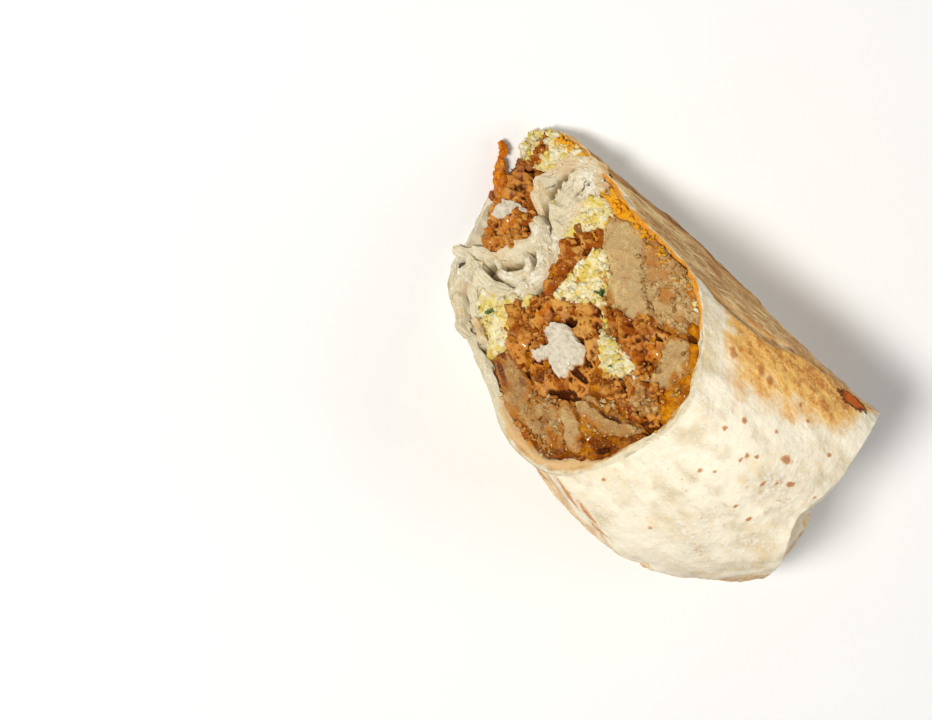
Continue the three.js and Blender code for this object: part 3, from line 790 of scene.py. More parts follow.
# %% Potato
def potato_finish():
    """Dense and mealy, browned by its tone, with pale meal and painted highlights on its crests, painted
    shade in its creases, and stained by sauce at its edges.
    """
    f = food("griddled_potato", 0.12, 2, (1, 0.65, 0.4), 0.3)
    coarse, fine, tiny = f.grain(5), f.grain(1.3, 4), f.grain(0.4, 2)
    browned = f["tone"] + (coarse - 0.5) * 0.7 + (fine - 0.5) * 0.7 + (tiny - 0.5) * 0.4
    base = f.mix("caa66e", "9c6420", browned.rise(0, 1))
    base = f.mix(base, "b9823a", (f.grain(3, 4) + tiny * 0.25 + browned * 0.15).rise(0.66, 0.84) * 0.6)
    base = f.mix(base, "b8a072", (f.grain(2.2) + tiny * 0.2 - browned * 0.2).rise(0.54, 0.72) * 0.5)
    # Pale meal in specks, and a painted highlight on the crests
    meal_and_highlight = fine * 0.5 + tiny * 0.5 + f["pit"] * 0.4 - browned * 0.15
    base = f.mix(base, "eccd8a", meal_and_highlight.rise(0.68, 0.88) * 0.7)
    # Painted shade in the creases
    base = f.mix(base, "662e04", (0.8 - f["pit"] * 1.2 - fine * 0.3).rise(0.1, 0.6) * 0.85)
    share = f["sauce"] * 1.4 + fine * 0.5 + coarse * 0.4 - 0.62 - f["pit"] * 0.15
    base = f.mix(base, "be761a", share.rise(-0.1, 0.4) * 0.85)
    base = f.mix(base, amber(f, coarse, fine), share.rise(0.3, 0.8))
    wet(f, f["sauce"] * 0.9 + 0.2)
    return f.finish(base, 0.3 + fine * 0.25, fine * 0.5 + tiny * 0.6, 0.7)


FINISHES[POTATO] = potato_finish()
print(POTATO, len(FINISHES[POTATO].node_tree.nodes), "nodes")


# %% Melted cheese and sauce
def cheese_finish():
    """Smooth and glossy, with darker juices, paler patches that favour the crests, in part a painted
    highlight, and painted shade in its creases.
    """
    f = food("cheese_and_juices", 0.12, 2, (1, 0.55, 0.2), 0.04)
    coarse, fine, tiny = f.grain(3.5), f.grain(0.9), f.grain(0.45, 2)
    base = amber(f, coarse, fine)
    # Painted shade: dark brown in the creases
    base = f.mix(base, "4e2002", (0.85 - f["pit"] * 1.1 - fine * 0.4).rise(0.15, 0.6) * 0.9)
    # Paler patches, more on the crests: in part a painted highlight
    base = f.mix(base, "cf9040", (coarse * 0.5 + fine * 0.4 + f["pit"] * 0.3).rise(0.78, 1.0) * 0.6)
    base = f.mix(base, "783a04", (coarse * 0.8 + fine * 0.3).rise(0.72, 0.87) * 0.55)
    wet(f, f["pit"] * 0.3 + 0.6)
    return f.finish(base, 0.3 + fine * 0.3, coarse * 0.4 + fine * 0.6 + tiny * 0.2, 0.4)


FINISHES[CHEESE] = cheese_finish()
print(CHEESE, len(FINISHES[CHEESE].node_tree.nodes), "nodes")


# %% Herbs
def herb_finish():
    """Chopped green leaf."""
    f = Finish("chopped_herb", Subsurface_Weight=0.1, Subsurface_Scale=0.002)
    fine = f.grain(0.7, 2)
    return f.finish(f.mix("2f5a2a", "5d8a45", fine.rise(0.4, 0.7)), 0.4 + fine * 0.2, fine, 0.1)


herb_green = herb_finish()
print(herb_green.name, len(herb_green.node_tree.nodes), "nodes")


def dress(piece, slot, nodes=(), material=None):
    """Gives a piece its finish, its ride on the burrito and the solids that it stands for."""
    piece.data.materials.append(material or FINISHES[slot])
    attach(piece, "root")
    if nodes:
        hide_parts(*nodes)
    return piece


print("slots with a finish:", list(FINISHES))

# %% [markdown]
# ## The wrap
#
# The sheet is one surface: up the inside of the hollow to the cut, over its torn edge, along
# the outside and over the closed end. A subdivided solid would round the torn edge and the
# laps away. A dense grid in the burrito's own coordinates keeps them and takes marks that
# were found by their place along and round the half.

# %% Where the sheet laps, tucks and folds
SEAM_ANGLE, SEAM_STEP = 3.42, 1.6
TUCK_AT, TUCK_STEP, TUCK_GROOVE = 0.6, 1.8, 1.6
FLAP_STEP = 1.6
FLAPS = [(0.5, 4), (3.5, 7)]
LENGTH = 78
# Where a pleat pulls the sheet in: along, angle, half length, half width and depth
DENTS = [(.16, 2.98, 15, 8, 3.2), (.37, 2.88, 4.5, 7, 2.2), (.93, 2.9, 6, 5, 1.5)]
# Lines along the half as (along, angle): the pressed side's crease, and the gold's far edge
CREASE = [(0, .68), (.1, .72), (.22, .75), (.38, .77), (.56, .66), (.78, .64), (.95, .56), (1, .6)]
GOLD_EDGE = [
    (0, .78), (.1, 1.0), (.14, 1.14), (.22, 1.24), (.375, 1.24),
    (.5, 1.22), (.68, 1.18), (.865, 1.06), (.92, .91), (1, .68),
]


def signed(angle):
    """An angle between minus and plus half a turn."""
    return (angle + np.pi) % TURN - np.pi


def seen_from(lo, hi, soft, angle):
    """1 between two angles, with soft edges."""
    middle, half = (lo + hi) / 2, (hi - lo) / 2
    return 1 - ease(half - soft, half + soft, np.abs(signed(angle - middle)))


def read_line(line, along):
    """The angle of a line of (along, angle) pairs, straight between them."""
    return np.interp(along, *np.array(line).T)


def wrap_relief(along, angle):
    """How far the outer face stands off its plain form: the seam's step along the far side,
    and the tucked end's step with the groove before it."""
    a = angle % TURN
    seam = SEAM_STEP * ease(SEAM_ANGLE - 0.04, SEAM_ANGLE + 0.03, a) * (1 - ease(4.2, 4.6, a))
    lower = ease(2.6, 3.1, a) * (1 - ease(4.3, 4.7, a))
    tuck = TUCK_STEP * ease(TUCK_AT - 0.01, TUCK_AT + 0.04, along)
    groove = TUCK_GROOVE * np.exp(-(((along - TUCK_AT) / 0.028) ** 2))
    return (seam + lower * (tuck - groove)) * ease(0, 0.12, along) * (1 - ease(0.9, 1, along))


def end_rise(angle, reach):
    """The closed end's height in x: a low dome, and a step at the edge of each flap."""
    u, v = end_point(angle, reach)
    inner = 1 - ease(0.8, 1, reach)
    rise = END_DOME * (1 - reach ** 4) - FLAP_STEP * inner
    for turn, past in FLAPS:
        ripple = 0.9 * np.sin(0.35 * (v * math.cos(turn) - u * math.sin(turn)))
        across = u * math.cos(turn) + v * math.sin(turn) - past + ripple
        rise = rise + FLAP_STEP * ease(-0.5, 0.5, across) * inner
    return rise


print("half way along, the seam stands", wrap_relief(0.5, 3.6).round(2), "mm out")


# %% The grid of the wrap
WRAP_SIDES, INNER_RINGS, EDGE_RINGS, OUTER_RINGS, END_RINGS = 360, 20, 9, 180, 46
# At the pocket the sheet's lip is thicker and set back, and beside it the edge is torn lower
LIP_FROM, LIP_TO, POCKET_LIP, LIP_DEEP = 4.5, 4.94, 0.075, 0.02
TORN_FROM, TORN_TO, TORN_LOW = 4.98, 5.2, 0.055


def wrap_grid():
    """Rings of (along, reach, rise) for the inner face, the torn edge, the outer face and
    the closed end, each with one value for every angle."""
    angle = full_turn(WRAP_SIDES)
    wall = wall_share(angle)
    rings = []
    lip = seen_from(LIP_FROM, LIP_TO, 0.06, angle)
    torn = TORN_LOW * seen_from(TORN_FROM, TORN_TO, 0.06, angle)
    rim_line = np.stack([angle * around(CUT_RADII, angle), 0 * angle, 0 * angle], -1)
    uneven = 1 + 0.35 * noise(rim_line, 5, 3, seed=71) * (1 - lip)
    for along in np.linspace(CAVITY_END, 0.012, INNER_RINGS) ** 1.3:
        back = along + torn + LIP_DEEP * lip
        shrink = 1 - ease(0.05, 0.2, back)
        rings.append((back, 1 - wall * (1 + (uneven - 1) * shrink) - POCKET_LIP * lip * shrink, 0 * angle))
    for t in np.linspace(0, 1, EDGE_RINGS):
        edge = 0.005 * (2 * t - 1) ** 4 + LIP_DEEP * lip * (1 - t) ** 2 + torn
        rings.append((edge, 1 - (wall * uneven + POCKET_LIP * lip) * (1 - t), 0 * angle))
    for along in np.concatenate([[0.011, 0.017], np.linspace(0.022, 1, OUTER_RINGS - 2)]):
        relief = wrap_relief(along, angle) / around(CUT_RADII, angle)
        rings.append((along + torn * (1 - ease(0, 0.2, along)), 1 + relief, 0 * angle))
    for reach in np.concatenate([[0.985, 0.965], np.linspace(0.94, 0.03, END_RINGS - 2)]):
        rings.append((1 + 0 * angle, reach + 0 * angle, end_rise(angle, reach)))
    along, reach, rise = (np.array([ring[i] for ring in rings]) for i in range(3))
    points = place(along, angle, reach)
    points[..., 0] += rise
    return along, np.broadcast_to(angle, along.shape), reach, points


along, angle, reach, plain = wrap_grid()
ring_number = np.arange(len(along))[:, None] + 0 * angle
is_inner = ring_number < INNER_RINGS
is_edge = (ring_number >= INNER_RINGS) & (ring_number < INNER_RINGS + EDGE_RINGS)
is_end = ring_number >= INNER_RINGS + EDGE_RINGS + OUTER_RINGS
is_outer = ~(is_inner | is_edge)
print("wrap grid:", along.shape, "triangles:", 2 * along.size)

# %% [markdown]
# ### Toasted spots
#
# A spot is a blister that touched the hot plate. Each is an ellipse on the sheet, given by
# its place and its half sizes. Its ragged outline comes later, from grain in the finish.

# %% Spots, stains and the griddled sides
# along, angle, half length and half width in millimetres
SPOTS = [
    (.188, 1.068, 1.5, .9), (.323, 1.403, 1.6, .8), (.24, 1.513, 1.3, .8), (.517, 1.34, 1.5, .8),
    (.66, 1.152, 1.3, .8), (.432, 1.571, 1.7, .8), (.42, 1.618, 1.1, .8), (.487, 1.55, 1.4, .6),
    (.64, 1.471, 2.9, 1.4), (.305, 1.812, 1.4, .7), (.365, 1.759, 1, .7), (.63, 1.691, 1.1, .8),
    (.695, 1.66, .9, .7), (.765, 1.634, 2.2, 1.1), (.855, 1.304, 1.3, .8), (.635, 1.927, 1.2, .9),
    (.763, 2.021, 1.4, 1), (.39, 2.356, 1.1, .8), (.955, 1.749, 1.2, .8), (.065, 2.377, 1.2, .7),
]
CHAR_SPOTS = [(.85, .757, 8, 2.9)]
BROWN_PATCHES = [
    (.1, 2.72, 7, .9), (.2, 2.66, 6, .8), (.3, 2.7, 5, .7), (.17, 1.063, 1.6, 1.5), (.34, 1.042, 1.8, 1.5),
    (.4, 1.07, 1.6, 1.6), (.55, .958, 1.1, .8), (.595, 1.079, 1, .8), (.58, .8, 2.2, .7), (.7, .69, 2.5, .6),
]
# The sides that don't show are spotted at random within these ranges
UNSEEN_RANGES = [(0.04, 0.96), (2.9, 5.6), (0.8, 2.8), (0.6, 1.5)]
rng = np.random.default_rng(7)
UNSEEN_SPOTS = [[rng.uniform(*span) for span in UNSEEN_RANGES] for _ in range(70)]
print("spots:", len(SPOTS) + len(UNSEEN_SPOTS))


# %% How strongly each mark lies on each point
def spot_field(spots, along, angle):
    """1 at a spot's middle, falling past 0 at its edge: one less its scaled radius."""
    radius = around(CUT_RADII, angle)
    field = np.full(along.shape, -9.0)
    for at_along, at_angle, half_length, half_width in spots:
        u = (along - at_along) * LENGTH / half_length
        v = signed(angle - at_angle) * radius / half_width
        field = np.maximum(field, 1 - np.hypot(u, v))
    return field


crease = read_line(CREASE, along)
gold_edge = read_line(GOLD_EDGE, along)
radius = around(CUT_RADII, angle)
turned = signed(angle)
ragged = 0.3 * noise(plain, 1.1, 2, seed=91)
toast = ragged + np.maximum(spot_field(SPOTS, along, angle), spot_field(UNSEEN_SPOTS, along, angle))
brown = np.clip(spot_field(BROWN_PATCHES, along, angle) + 0.5, 0, 1) * is_outer
toast = np.maximum(np.clip(toast + 0.3, 0, 1) * is_outer, brown * 0.8)
char = np.clip(spot_field(CHAR_SPOTS, along, angle) + 0.25, 0, 1) * is_outer
border = np.exp(-(((turned - crease) * radius / 1.6) ** 2)) * (turned < crease + 0.03)
border = np.maximum(border, 0.8 * seen_from(-0.72, -0.42, 0.1, angle)) * is_outer
wander = 0.12 * noise(plain, 5, 3, seed=92)
gold = ease(-0.03, 0.04, turned - crease) * (1 - ease(-0.34, 0.32, turned - gold_edge + wander))
gold *= ease(-0.01, 0.1, along + wander) * (0.8 + 0.2 * ease(0.1, 0.3, along))
side_near = (1 - ease(-0.06, 0.02, turned - crease)) * ease(-0.75, -0.5, turned)
side_far = seen_from(2.95, 4.05, 0.12, angle) * 0.75
griddle = np.maximum(side_near, side_far) * is_outer
marks = {"gold": gold * is_outer, "griddle": griddle, "toast": toast, "char": char, "border": border}
print("mean strength of the marks:", {key: round(float(mark.mean()), 3) for key, mark in marks.items()})

# %% [markdown]
# ### Wrinkles and dents
#
# Griddling presses the flat sides smooth and leaves the rest soft: shallow dents over the
# lumps inside, fine wrinkles along the half, a sharp crease where the pressed side ends, and
# small blisters. All are offsets along the surface's own normal.

# %% Offsets along the normal
normal = surface_normals(plain)
middle_rings = slice(60, 160)
from_axis = plain[middle_rings] - plain[middle_rings].mean(1, keepdims=True)
if (normal[middle_rings] * from_axis).sum() < 0:
    normal = -normal
long_ways = plain * np.array([0.22, 1, 1])
offset = 0.6 * noise(plain, 17, 2, seed=3) + 0.25 * noise(plain, 5, 3, seed=5)
offset += 0.12 * noise(plain, 1.8, 2, seed=6)
offset += 0.22 * noise(long_ways, 3.2, 2, seed=8) * (0.45 + 0.9 * griddle)
ridge = 1 - np.abs(noise(long_ways, 6, 2, seed=13))
offset -= 0.35 * ease(0.82, 1, ridge) * (0.3 + griddle)
offset += 0.2 * ease(0.1, 0.7, toast) + 0.25 * ease(0, 0.5, char)
crease_away = (turned - crease) * radius
offset -= 1.0 * np.exp(-((crease_away / 1.1) ** 2)) * ease(0.02, 0.15, along) * (1 - ease(0.9, 1, along))
offset += 0.5 * np.exp(-(((crease_away - 3) / 2.2) ** 2)) * ease(0.1, 0.3, along) * (1 - ease(0.85, 1, along))
offset *= np.where(is_outer, 1, 0.35) * np.where(is_end, 0.8, 1)
for at_along, at_angle, half_length, half_width, deep in DENTS:
    u = (along - at_along) * LENGTH / half_length
    v = signed(angle - at_angle) * radius / half_width
    offset -= deep * np.exp(-u ** 2 - v ** 2) * (is_outer * 1.0 - is_inner)
print("offsets run from", offset.min().round(2), "to", offset.max().round(2), "mm")

# %% [markdown]
# ### The torn edge, and the wrap's mesh
#
# A knife pulls at a limp sheet, so its edge isn't straight: it comes and goes along the rim
# and shows the dough's thin layers. Sauce has soaked into it from the fillings' side.

# %% The edge torn and the mesh made
wall = wall_share(angle)
across = np.clip((reach - 1 + wall) / wall, 0, 1)
rim_run = np.stack([angle * radius / 6, across * wall * radius / 0.8, 0 * angle], -1)
torn = noise(rim_run, 1, 3, seed=21) + 0.9 * noise(plain, 2.2, 3, seed=22) * is_edge
torn *= 1 + 1.2 * seen_from(5.2, 6.1, 0.2, angle) + 0.6 * seen_from(-0.2, 1.6, 0.3, angle)
edge_pull = np.exp(-((along / 0.012) ** 2)) * np.where(is_inner, ease(0.0, 0.02, 0.03 - along), 1)
points = plain + normal * offset[..., None]
points += CUT_NORMAL * (edge_pull * (0.42 * torn + 0.1))[..., None]
points[..., 2] = np.maximum(points[..., 2], 0.0)
soaked = seen_from(-0.75, 3.35, 0.25, angle)
soaked_to = 0.05 + 0.6 * seen_from(2.2, 3.3, 0.3, angle) + 0.65 * seen_from(-0.9, 0.9, 0.3, angle)
soaked_edge = is_edge * (1 - ease(0, 0.35, across - soaked_to + 0.3 * noise(plain, 2.5, 3, seed=33)))
soaked_edge = soaked_edge * (0.5 + 0.4 * seen_from(-0.8, 1.2, 0.3, angle))
blots = 0.25 + 0.6 * ease(-0.2, 0.5, noise(plain, 7, 2, seed=31))
layer_lines = is_edge * ease(0.45, 0.8, np.abs(noise(rim_run, 1, 2, seed=34)))
tortilla = ring_mesh("wrap_sheet", points, {
    **marks,
    "stain": (is_inner * blots + soaked_edge) * soaked,
    # line: dark lines along the torn edge's layers, and painted shade deeper inside the hollow
    "line": layer_lines * 0.5 + is_inner * 0.6 * ease(0.03, 0.12, along),
    "inside": (is_inner | is_edge) * 1.0,
})
dress(tortilla, "tortilla", ["tortilla"])
print("wrap:", triangles(tortilla), "triangles, lowest point", points[..., 2].min().round(3))

# %% [markdown]
# ## The folds inside
#
# Where the sheet was gathered, it stands in the cut as soft folds seen end on. A fold is a
# strip with a rounded front edge. Its profile is carried along a line on the cut. Noise moves
# it sideways, swells it and lets its edge come forward or fall back, as limp dough does.

# %% How each fold behaves
FOLD_SAMPLES, FOLD_PROFILE, FOLD_DEPTH = 220, 72, 42
# How many times a fold is thicker than the solid's plain strip
FOLD_PUFF = {
    "pocket_floor": 1.1, "roll": 1.15, "roll_core": 1.1, "side_layer": 1.15, "side_inner": 1.15,
    "ruffle_outer": 1.45, "ruffle_middle": 1.9, "ruffle_inner": 1.5,
}
# How steadily its front edge keeps to one height, and how strongly its layers show
FOLD_STEADY = {"pocket_floor": 0.75, "roll": 0.4, "side_layer": 0.5, "side_inner": 0.5}
FOLD_LAYERS = {
    "side_layer": 0.35, "side_inner": 0.35, "roll": 0.35, "roll_core": 0.3, "pocket_floor": 0.15,
    "ruffle_outer": 0.3, "ruffle_middle": 0.35, "ruffle_inner": 0.3,
}
LAYER = 0.95


def fold_profile():
    """Steps round a strip seen end on, with half a circle at the front: which steps are in
    front, their turn from minus to plus a quarter circle, the depth of the rest as a share of
    the whole, and the offset across the strip from -1 to 1."""
    t = np.arange(FOLD_PROFILE) / FOLD_PROFILE
    turn = np.pi * np.clip((t - 0.5) / 0.5, -0.5, 0.5)
    front = np.abs(t - 0.5) <= 0.25
    back = np.clip((np.abs(t - 0.5) - 0.25) / 0.25, 0, 1) ** 2
    return front, turn, back, np.sin(turn)


print("steps of a fold's profile:", FOLD_PROFILE, "of them in front:", fold_profile()[0].sum())


# %% A fold as a profile carried along a line
fold_fronts = {}


def fold_piece(name, seed):
    """A fold's rings: spine point plus the profile's offset along the spine's normal. The
    front edge comes and goes, shows the thin layers of the dough as grooves along it, and
    is crumpled."""
    share = np.linspace(0, LAST_SHARE, FOLD_SAMPLES)
    spine = spline(FOLDS[name], share)
    tangent = np.gradient(spine, axis=0)
    tangent /= np.linalg.norm(tangent, axis=1, keepdims=True)
    across = np.stack([-tangent[:, 1], tangent[:, 0]], -1)
    run = np.cumsum(np.linalg.norm(np.gradient(spine, axis=0), axis=1))
    line = np.stack([run, 0 * run + 40 * seed, 0 * run], -1)
    # The front edge: its thickness, and how far it comes forward
    front, turn, back, side = fold_profile()
    half = FOLD_HALF * FOLD_PUFF[name] * (1 + 0.38 * noise(line, 4.5, 2, seed=seed))
    steady = FOLD_STEADY.get(name, 0)
    forward = 1.5 * (1 - steady) * noise(line + 7, 5, 2, seed=seed + 5) + 1.2 * steady
    forward = forward + 0.5 * noise(line, 1.6, 2, seed=seed + 9) + 0.5
    bulge = np.where(front, np.cos(turn), 0)
    depth = back[None] * FOLD_DEPTH - forward[:, None] * (1 - ease(0, 0.3, back))
    depth = depth - half[:, None] * (bulge - 0.6)
    # Grooves between the layers of dough, and sharp crumples across them
    millimetres = half[:, None] * side[None]
    drift = 0.35 * noise(line, 6, 2, seed=seed + 15)[:, None]
    groove = ease(0.25, 0.5, np.abs((millimetres / LAYER + drift) % 1 - 0.5)) * front
    layered = FOLD_LAYERS[name]
    p = np.stack([millimetres, run[:, None] + 0 * millimetres, 0 * millimetres + 9 * seed], -1)
    drawn = p * np.array([1, 0.4, 1])
    crumple = 1.1 * (1 - np.abs(noise(drawn, 2.6, 2, seed=seed + 23))) ** 3
    crumple = crumple + 0.14 * noise(p, 1.4, 3, seed=seed + 21)
    depth += layered * groove + (0.4 - crumple) * front
    # The strip wanders sideways, and thins out at its ends
    spots = np.stack([depth * 0.6, spine[:, :1] + 0 * depth, spine[:, 1:] + 0 * depth], -1)
    wander = 0.6 * noise(spots, 4, 2, seed=seed + 2) + 0.2 * noise(spots, 1.5, 2, seed=seed + 3)
    offset = millimetres + wander * ease(-2.5, 2, depth)
    taper = ease(0, 0.03, share) * ease(0, 0.03, LAST_SHARE - share)
    offset *= 0.3 + 0.7 * taper[:, None]
    y = spine[:, :1] + across[:, :1] * offset
    z = spine[:, 1:] + across[:, 1:] * offset
    points = place_inside(depth, y, z)
    fold_fronts[name] = points[:, front][5:-5]
    stain = 0.2 * ease(0.3, 0.9, noise(points, 4, 2, seed=seed + 11))
    stain = stain + 0.25 * (1 - ease(0.3, 2, food_distance(y, z)))
    stain += 0.5 * ease(23, 26, y + 1.5 * noise(points, 3, 2, seed=seed + 12))
    # Painted shade: darker deep behind the front edge and in the grooves between layers
    deep = ease(-0.1, 3.2, depth + 0.5 * noise(spots, 3, 2, seed + 6))
    shaded = np.clip(deep + groove * layered, 0, 1)
    return ring_mesh("fold_" + name, points, {"stain": stain, "line": shaded, "inside": np.ones_like(stain)})


for seed, name in enumerate(FOLDS):
    dress(fold_piece(name, seed + 1), "tortilla", ["tortilla"])
print("folds:", list(FOLDS))

# %% [markdown]
# ## The fillings
#
# Each filling is a body with one rough face, the cut, and plain walls behind it. Its face is
# a polar grid about its middle. Heights over that grid give each food its own break: curds
# for egg, crags and crumbs for fried crust, a mealy plane for potato, a smooth skin for
# cheese. The same heights tell the finish where its creases are.

# %% Where white meat shows
# Corners of its outlines on the cut
MEAT = {
    "chicken_lower": [
        (-15.5, 35.4), (-12.5, 36.8), (-10.6, 40.8), (-11.5, 43.4), (-12.2, 47.4), (-15.5, 47.6),
        (-18.3, 46.3), (-21.1, 46), (-21.6, 43.4), (-20.3, 40.8), (-19.7, 38.9), (-21.1, 37.4),
        (-22.4, 36.4), (-22, 34.9), (-19.2, 36.9), (-17.1, 38.1),
    ],
    "chicken_pocket": [
        (-1.8, 8.1), (-0.3, 8), (1.8, 8.8), (4, 10.5), (5.1, 13), (4.4, 14.2), (1.7, 12.2), (-0.2, 11.7),
        (-2.4, 9.6),
    ],
}
print("corners of the white meat:", [len(corners) for corners in MEAT.values()])

# %% [markdown]
# ### What was found on the cut
#
# A random break gives the right texture, but not the places by which one piece is known from
# another. Those are listed as ellipses and lines on the cut: y, z, half length, half
# width and turn in degrees, as for the fillings, and some with a depth or a strength.

# %% Hollows, cracks and shade
# Hollows in a food, with their depth in millimetres
HOLLOWS = {
    "chicken_lower": [
        (-10.3, 37.6, 2.4, 1.3, 30, 2.6), (-7.1, 40.6, 1.3, 0.9, 40, 1.6), (-22.6, 35.5, 1.6, 1, 60, 1.5),
        (-24.6, 45, 3.5, 0.9, 60, 1.8),
    ],
    "chicken_right": [(1.0, 61.5, 2.0, 0.9, 60, 1.5), (0.5, 53.2, 2.2, 1.2, 20, 1.6)],
    "chicken_pocket": [
        (13.4, 6.4, 2.2, 1.2, 90, 2.4), (12.4, 10.6, 2.8, 1.3, 120, 3.2), (10.2, 13.4, 1.6, 1.0, 130, 2.2),
        (2.2, 17.0, 1.5, 0.9, 60, 2.6), (-4.5, 15.5, 2.5, 0.8, 30, 1.6), (6.5, 12.4, 1.2, 0.8, 60, 1.2),
    ],
    "chicken_crumb": [(-15.5, 66.5, 3.2, 1.2, 60, 1.9), (-19.0, 64.0, 3.0, 0.8, 70, 1.6)],
    "potato_crumble": [(21.5, 50, 2.5, 0.9, 90, 0.9)],
}
# Dark cracks between the foods
CRACKS = [
    [(-25.5, 45.3), (-21.8, 52.4), (-21.4, 55.5), (-20, 63.5), (-15.9, 71.5), (-16.3, 74.3)],
    [(-10.8, 37.6), (-9.6, 39.2), (-7.4, 40.6)],
    [(3.4, 58.8), (4, 61.2), (5.2, 65), (6.5, 68.5), (6.2, 72.4)],
    [(-19.1, 32.1), (-22.5, 33), (-26.7, 35.2)], [(-33.5, 50.5), (-35.2, 51.5), (-37.8, 53.4)],
    [(13.5, 5), (13.1, 9.9), (10.4, 13.1)], [(1.2, 16.2), (2.7, 18.1)], [(-36.4, 38.5), (-37.2, 42)],
    [(-24.2, 50.2), (-26.6, 54.2), (-29.4, 57.4)],
]
crack_grid = line_grid(CRACKS, 60)
# Deep shade between lumps, with its strength
SHADE = [
    (-9.4, 39.2, 3.4, 1.7, 62, 1), (-22.5, 35.6, 2.4, 1.5, 70, 1), (-18.2, 48.4, 3.6, 1.3, 90, 0.9),
    (-9.4, 33.2, 1.6, 1, 20, 0.6), (-1.4, 57.4, 3.6, 1.2, 62, 0.55), (-5, 64, 3.6, 1.2, 80, 0.6),
    (4.6, 61.4, 3.2, 1.1, 80, 0.6), (-36, 52.1, 4, 1.1, 144, 1), (-16.9, 71, 3.4, 1.7, 85, 1),
    (-18, 28, 2.8, 1.5, 144, 0.7), (-27.5, 35.3, 2.6, 1.6, 144, 0.7), (-24, 46.5, 6.5, 1.7, 70, 0.9),
    (-20.6, 60.5, 4, 1.2, 75, 0.9), (-13.2, 60.6, 2.6, 1.4, 155, 0.8), (1.5, 61, 5, 1.3, 150, 0.9),
    (6.2, 67.2, 3.2, 1.3, 75, 1), (-35.2, 51.4, 1.2, 2.4, 0, 1), (-9.6, 38.8, 3, 1.8, 80, 1),
    (-37.5, 40.3, 3.4, 1.5, 110, 0.7), (-22.6, 35.5, 1.8, 1.1, 60, 0.8), (13, 7.5, 3.4, 1.5, 100, 0.9),
    (2, 17, 2, 1.2, 60, 1), (20, 9, 14, 9, 20, 0.35),
]
print("hollows:", sum(map(len, HOLLOWS.values())), "cracks:", len(CRACKS), "shades:", len(SHADE))

# %% Better fried, paler and browner places
# Orange, well fried batter
GOLDEN = {
    "chicken_lower": [(-10.8, 32.8, 4.5, 1.5, 35), (-5.8, 36.6, 3.2, 1.4, 60), (-14.8, 30.4, 2, 1.2, 20)],
    "chicken_right": [(-1.2, 61.2, 5.4, 1.5, 145), (1.5, 53.5, 2.5, 1.2, 60)],
    "chicken_pocket": [(-3.5, 13.2, 6.3, 2.6, 30), (12, 6, 2.5, 1.5, 90)],
    "chicken_strip": [(-2.8, 28.8, 2.5, 1.2, 30)],
    "chicken_crumb": [(-11, 61, 2.4, 1.4, 60)],
}
# Paler, smoother batter and curds
PALE_BATTER = {
    "chicken_lower": [
        (-6.6, 37.5, 7, 2.4, 62), (-16.5, 31, 3, 1.8, 120), (-8.6, 43, 4.5, 3, 80), (-10.8, 49, 4, 3.2, 80),
        (-12, 53.5, 6, 2.8, 105),
    ],
    "chicken_right": [(0.8, 60.8, 4.2, 1.5, 50)],
    "chicken_pocket": [(8.4, 10, 1.6, 1, 60)],
    "chicken_strip": [(6.5, 31.5, 3, 1.3, 15)],
    "chicken_crumb": [(-13, 64.5, 3.2, 2.2, 60)],
    "egg_top": [(20.4, 13.7, 3, 2.2, 20)],
    "egg_centre": [(-7.3, 54.5, 4.5, 2.2, 107)],
    "egg_middle": [(-3.5, 34.4, 2.2, 1.4, 60)],
}
# Bits of crust in the egg
BROWN_BITS = {
    "egg_top": [
        (19.8, 8.8, 5.2, 1.6, 164), (16.4, 9.6, 2, 1.2, 60), (15.2, 6.4, 1.6, 1, 20),
        (24.2, 11.2, 1.4, 1, 70),
    ],
    "egg_upper": [(9.8, 28.6, 1.6, 1.1, 30)],
}
# How much darker than the rest a piece is fried, or lighter where it is below 0
DARKER = {"chicken_strip": 0.4, "chicken_right": 0.16, "chicken_lower": -0.16, "chicken_crumb": 0.3}
# How brown a potato is all over
BROWNED = {
    "potato_slab": 0.05, "potato_crumble": 0.26, "potato_right": 0.25, "potato_left": 0.56,
    "potato_corner": 0.45, "potato_oval": 0.3, "potato_long": 0.55,
}
# How much a piece crumbles, where it isn't firm
CRUMBLY = {
    "potato_crumble": 1.0, "potato_corner": 0.8, "potato_left": 0.35, "potato_right": 0.3,
    "cheese_corner": 0.5, "cheese_bottom": 0.45,
}
print("golden, pale and bitty fillings:", len(GOLDEN), len(PALE_BATTER), len(BROWN_BITS))

# %% Where sauce lies
# Where it has pooled
SAUCE_SPOTS = [
    (15.5, 64, 11, 2.4, 120), (4, 71.6, 7, 3, 130), (-6, 72, 6, 3, 150), (-18.6, 61, 10, 2.4, 83),
    (24, 17, 4, 1.5, 80), (-33.5, 49.2, 2.6, 1.8, 100), (4.2, 40.8, 3.2, 1.5, 110), (-28.5, 62, 9, 5, 60),
    (-10.5, 73.5, 4, 2.6, 60), (-3.6, 28.6, 4.5, 1.5, 115), (-30.5, 30, 7, 1.2, 120),
    (19.5, 41.5, 6, 1.8, 95), (22, 33.5, 6, 3, 108), (-22, 29.5, 2.4, 1.6, 60),
]
# How far outside a potato's own ellipse its sauce begins and is full
SAUCE_EDGE = {
    "potato_slab": (1.8, 3.8), "potato_crumble": (1.0, 3.2), "potato_right": (0.2, 1.6),
    "potato_left": (0, 1.6), "potato_corner": (-0.4, 2.0), "potato_oval": (0.2, 0.9),
    "potato_long": (0.5, 1.4),
}
# Where it only stains a potato, with its strength
STAINED = {
    "potato_crumble": [(15, 51.5, 9, 5, 110, 0.38), (10.6, 58.4, 5, 3.6, 100, 0.46), (8, 64, 4, 3, 90, 0.34)],
    "potato_slab": [(15, 36, 5, 3, 134, 0.16)],
    "potato_right": [(0.5, 64.5, 2.6, 2, 90, 0.2)],
}
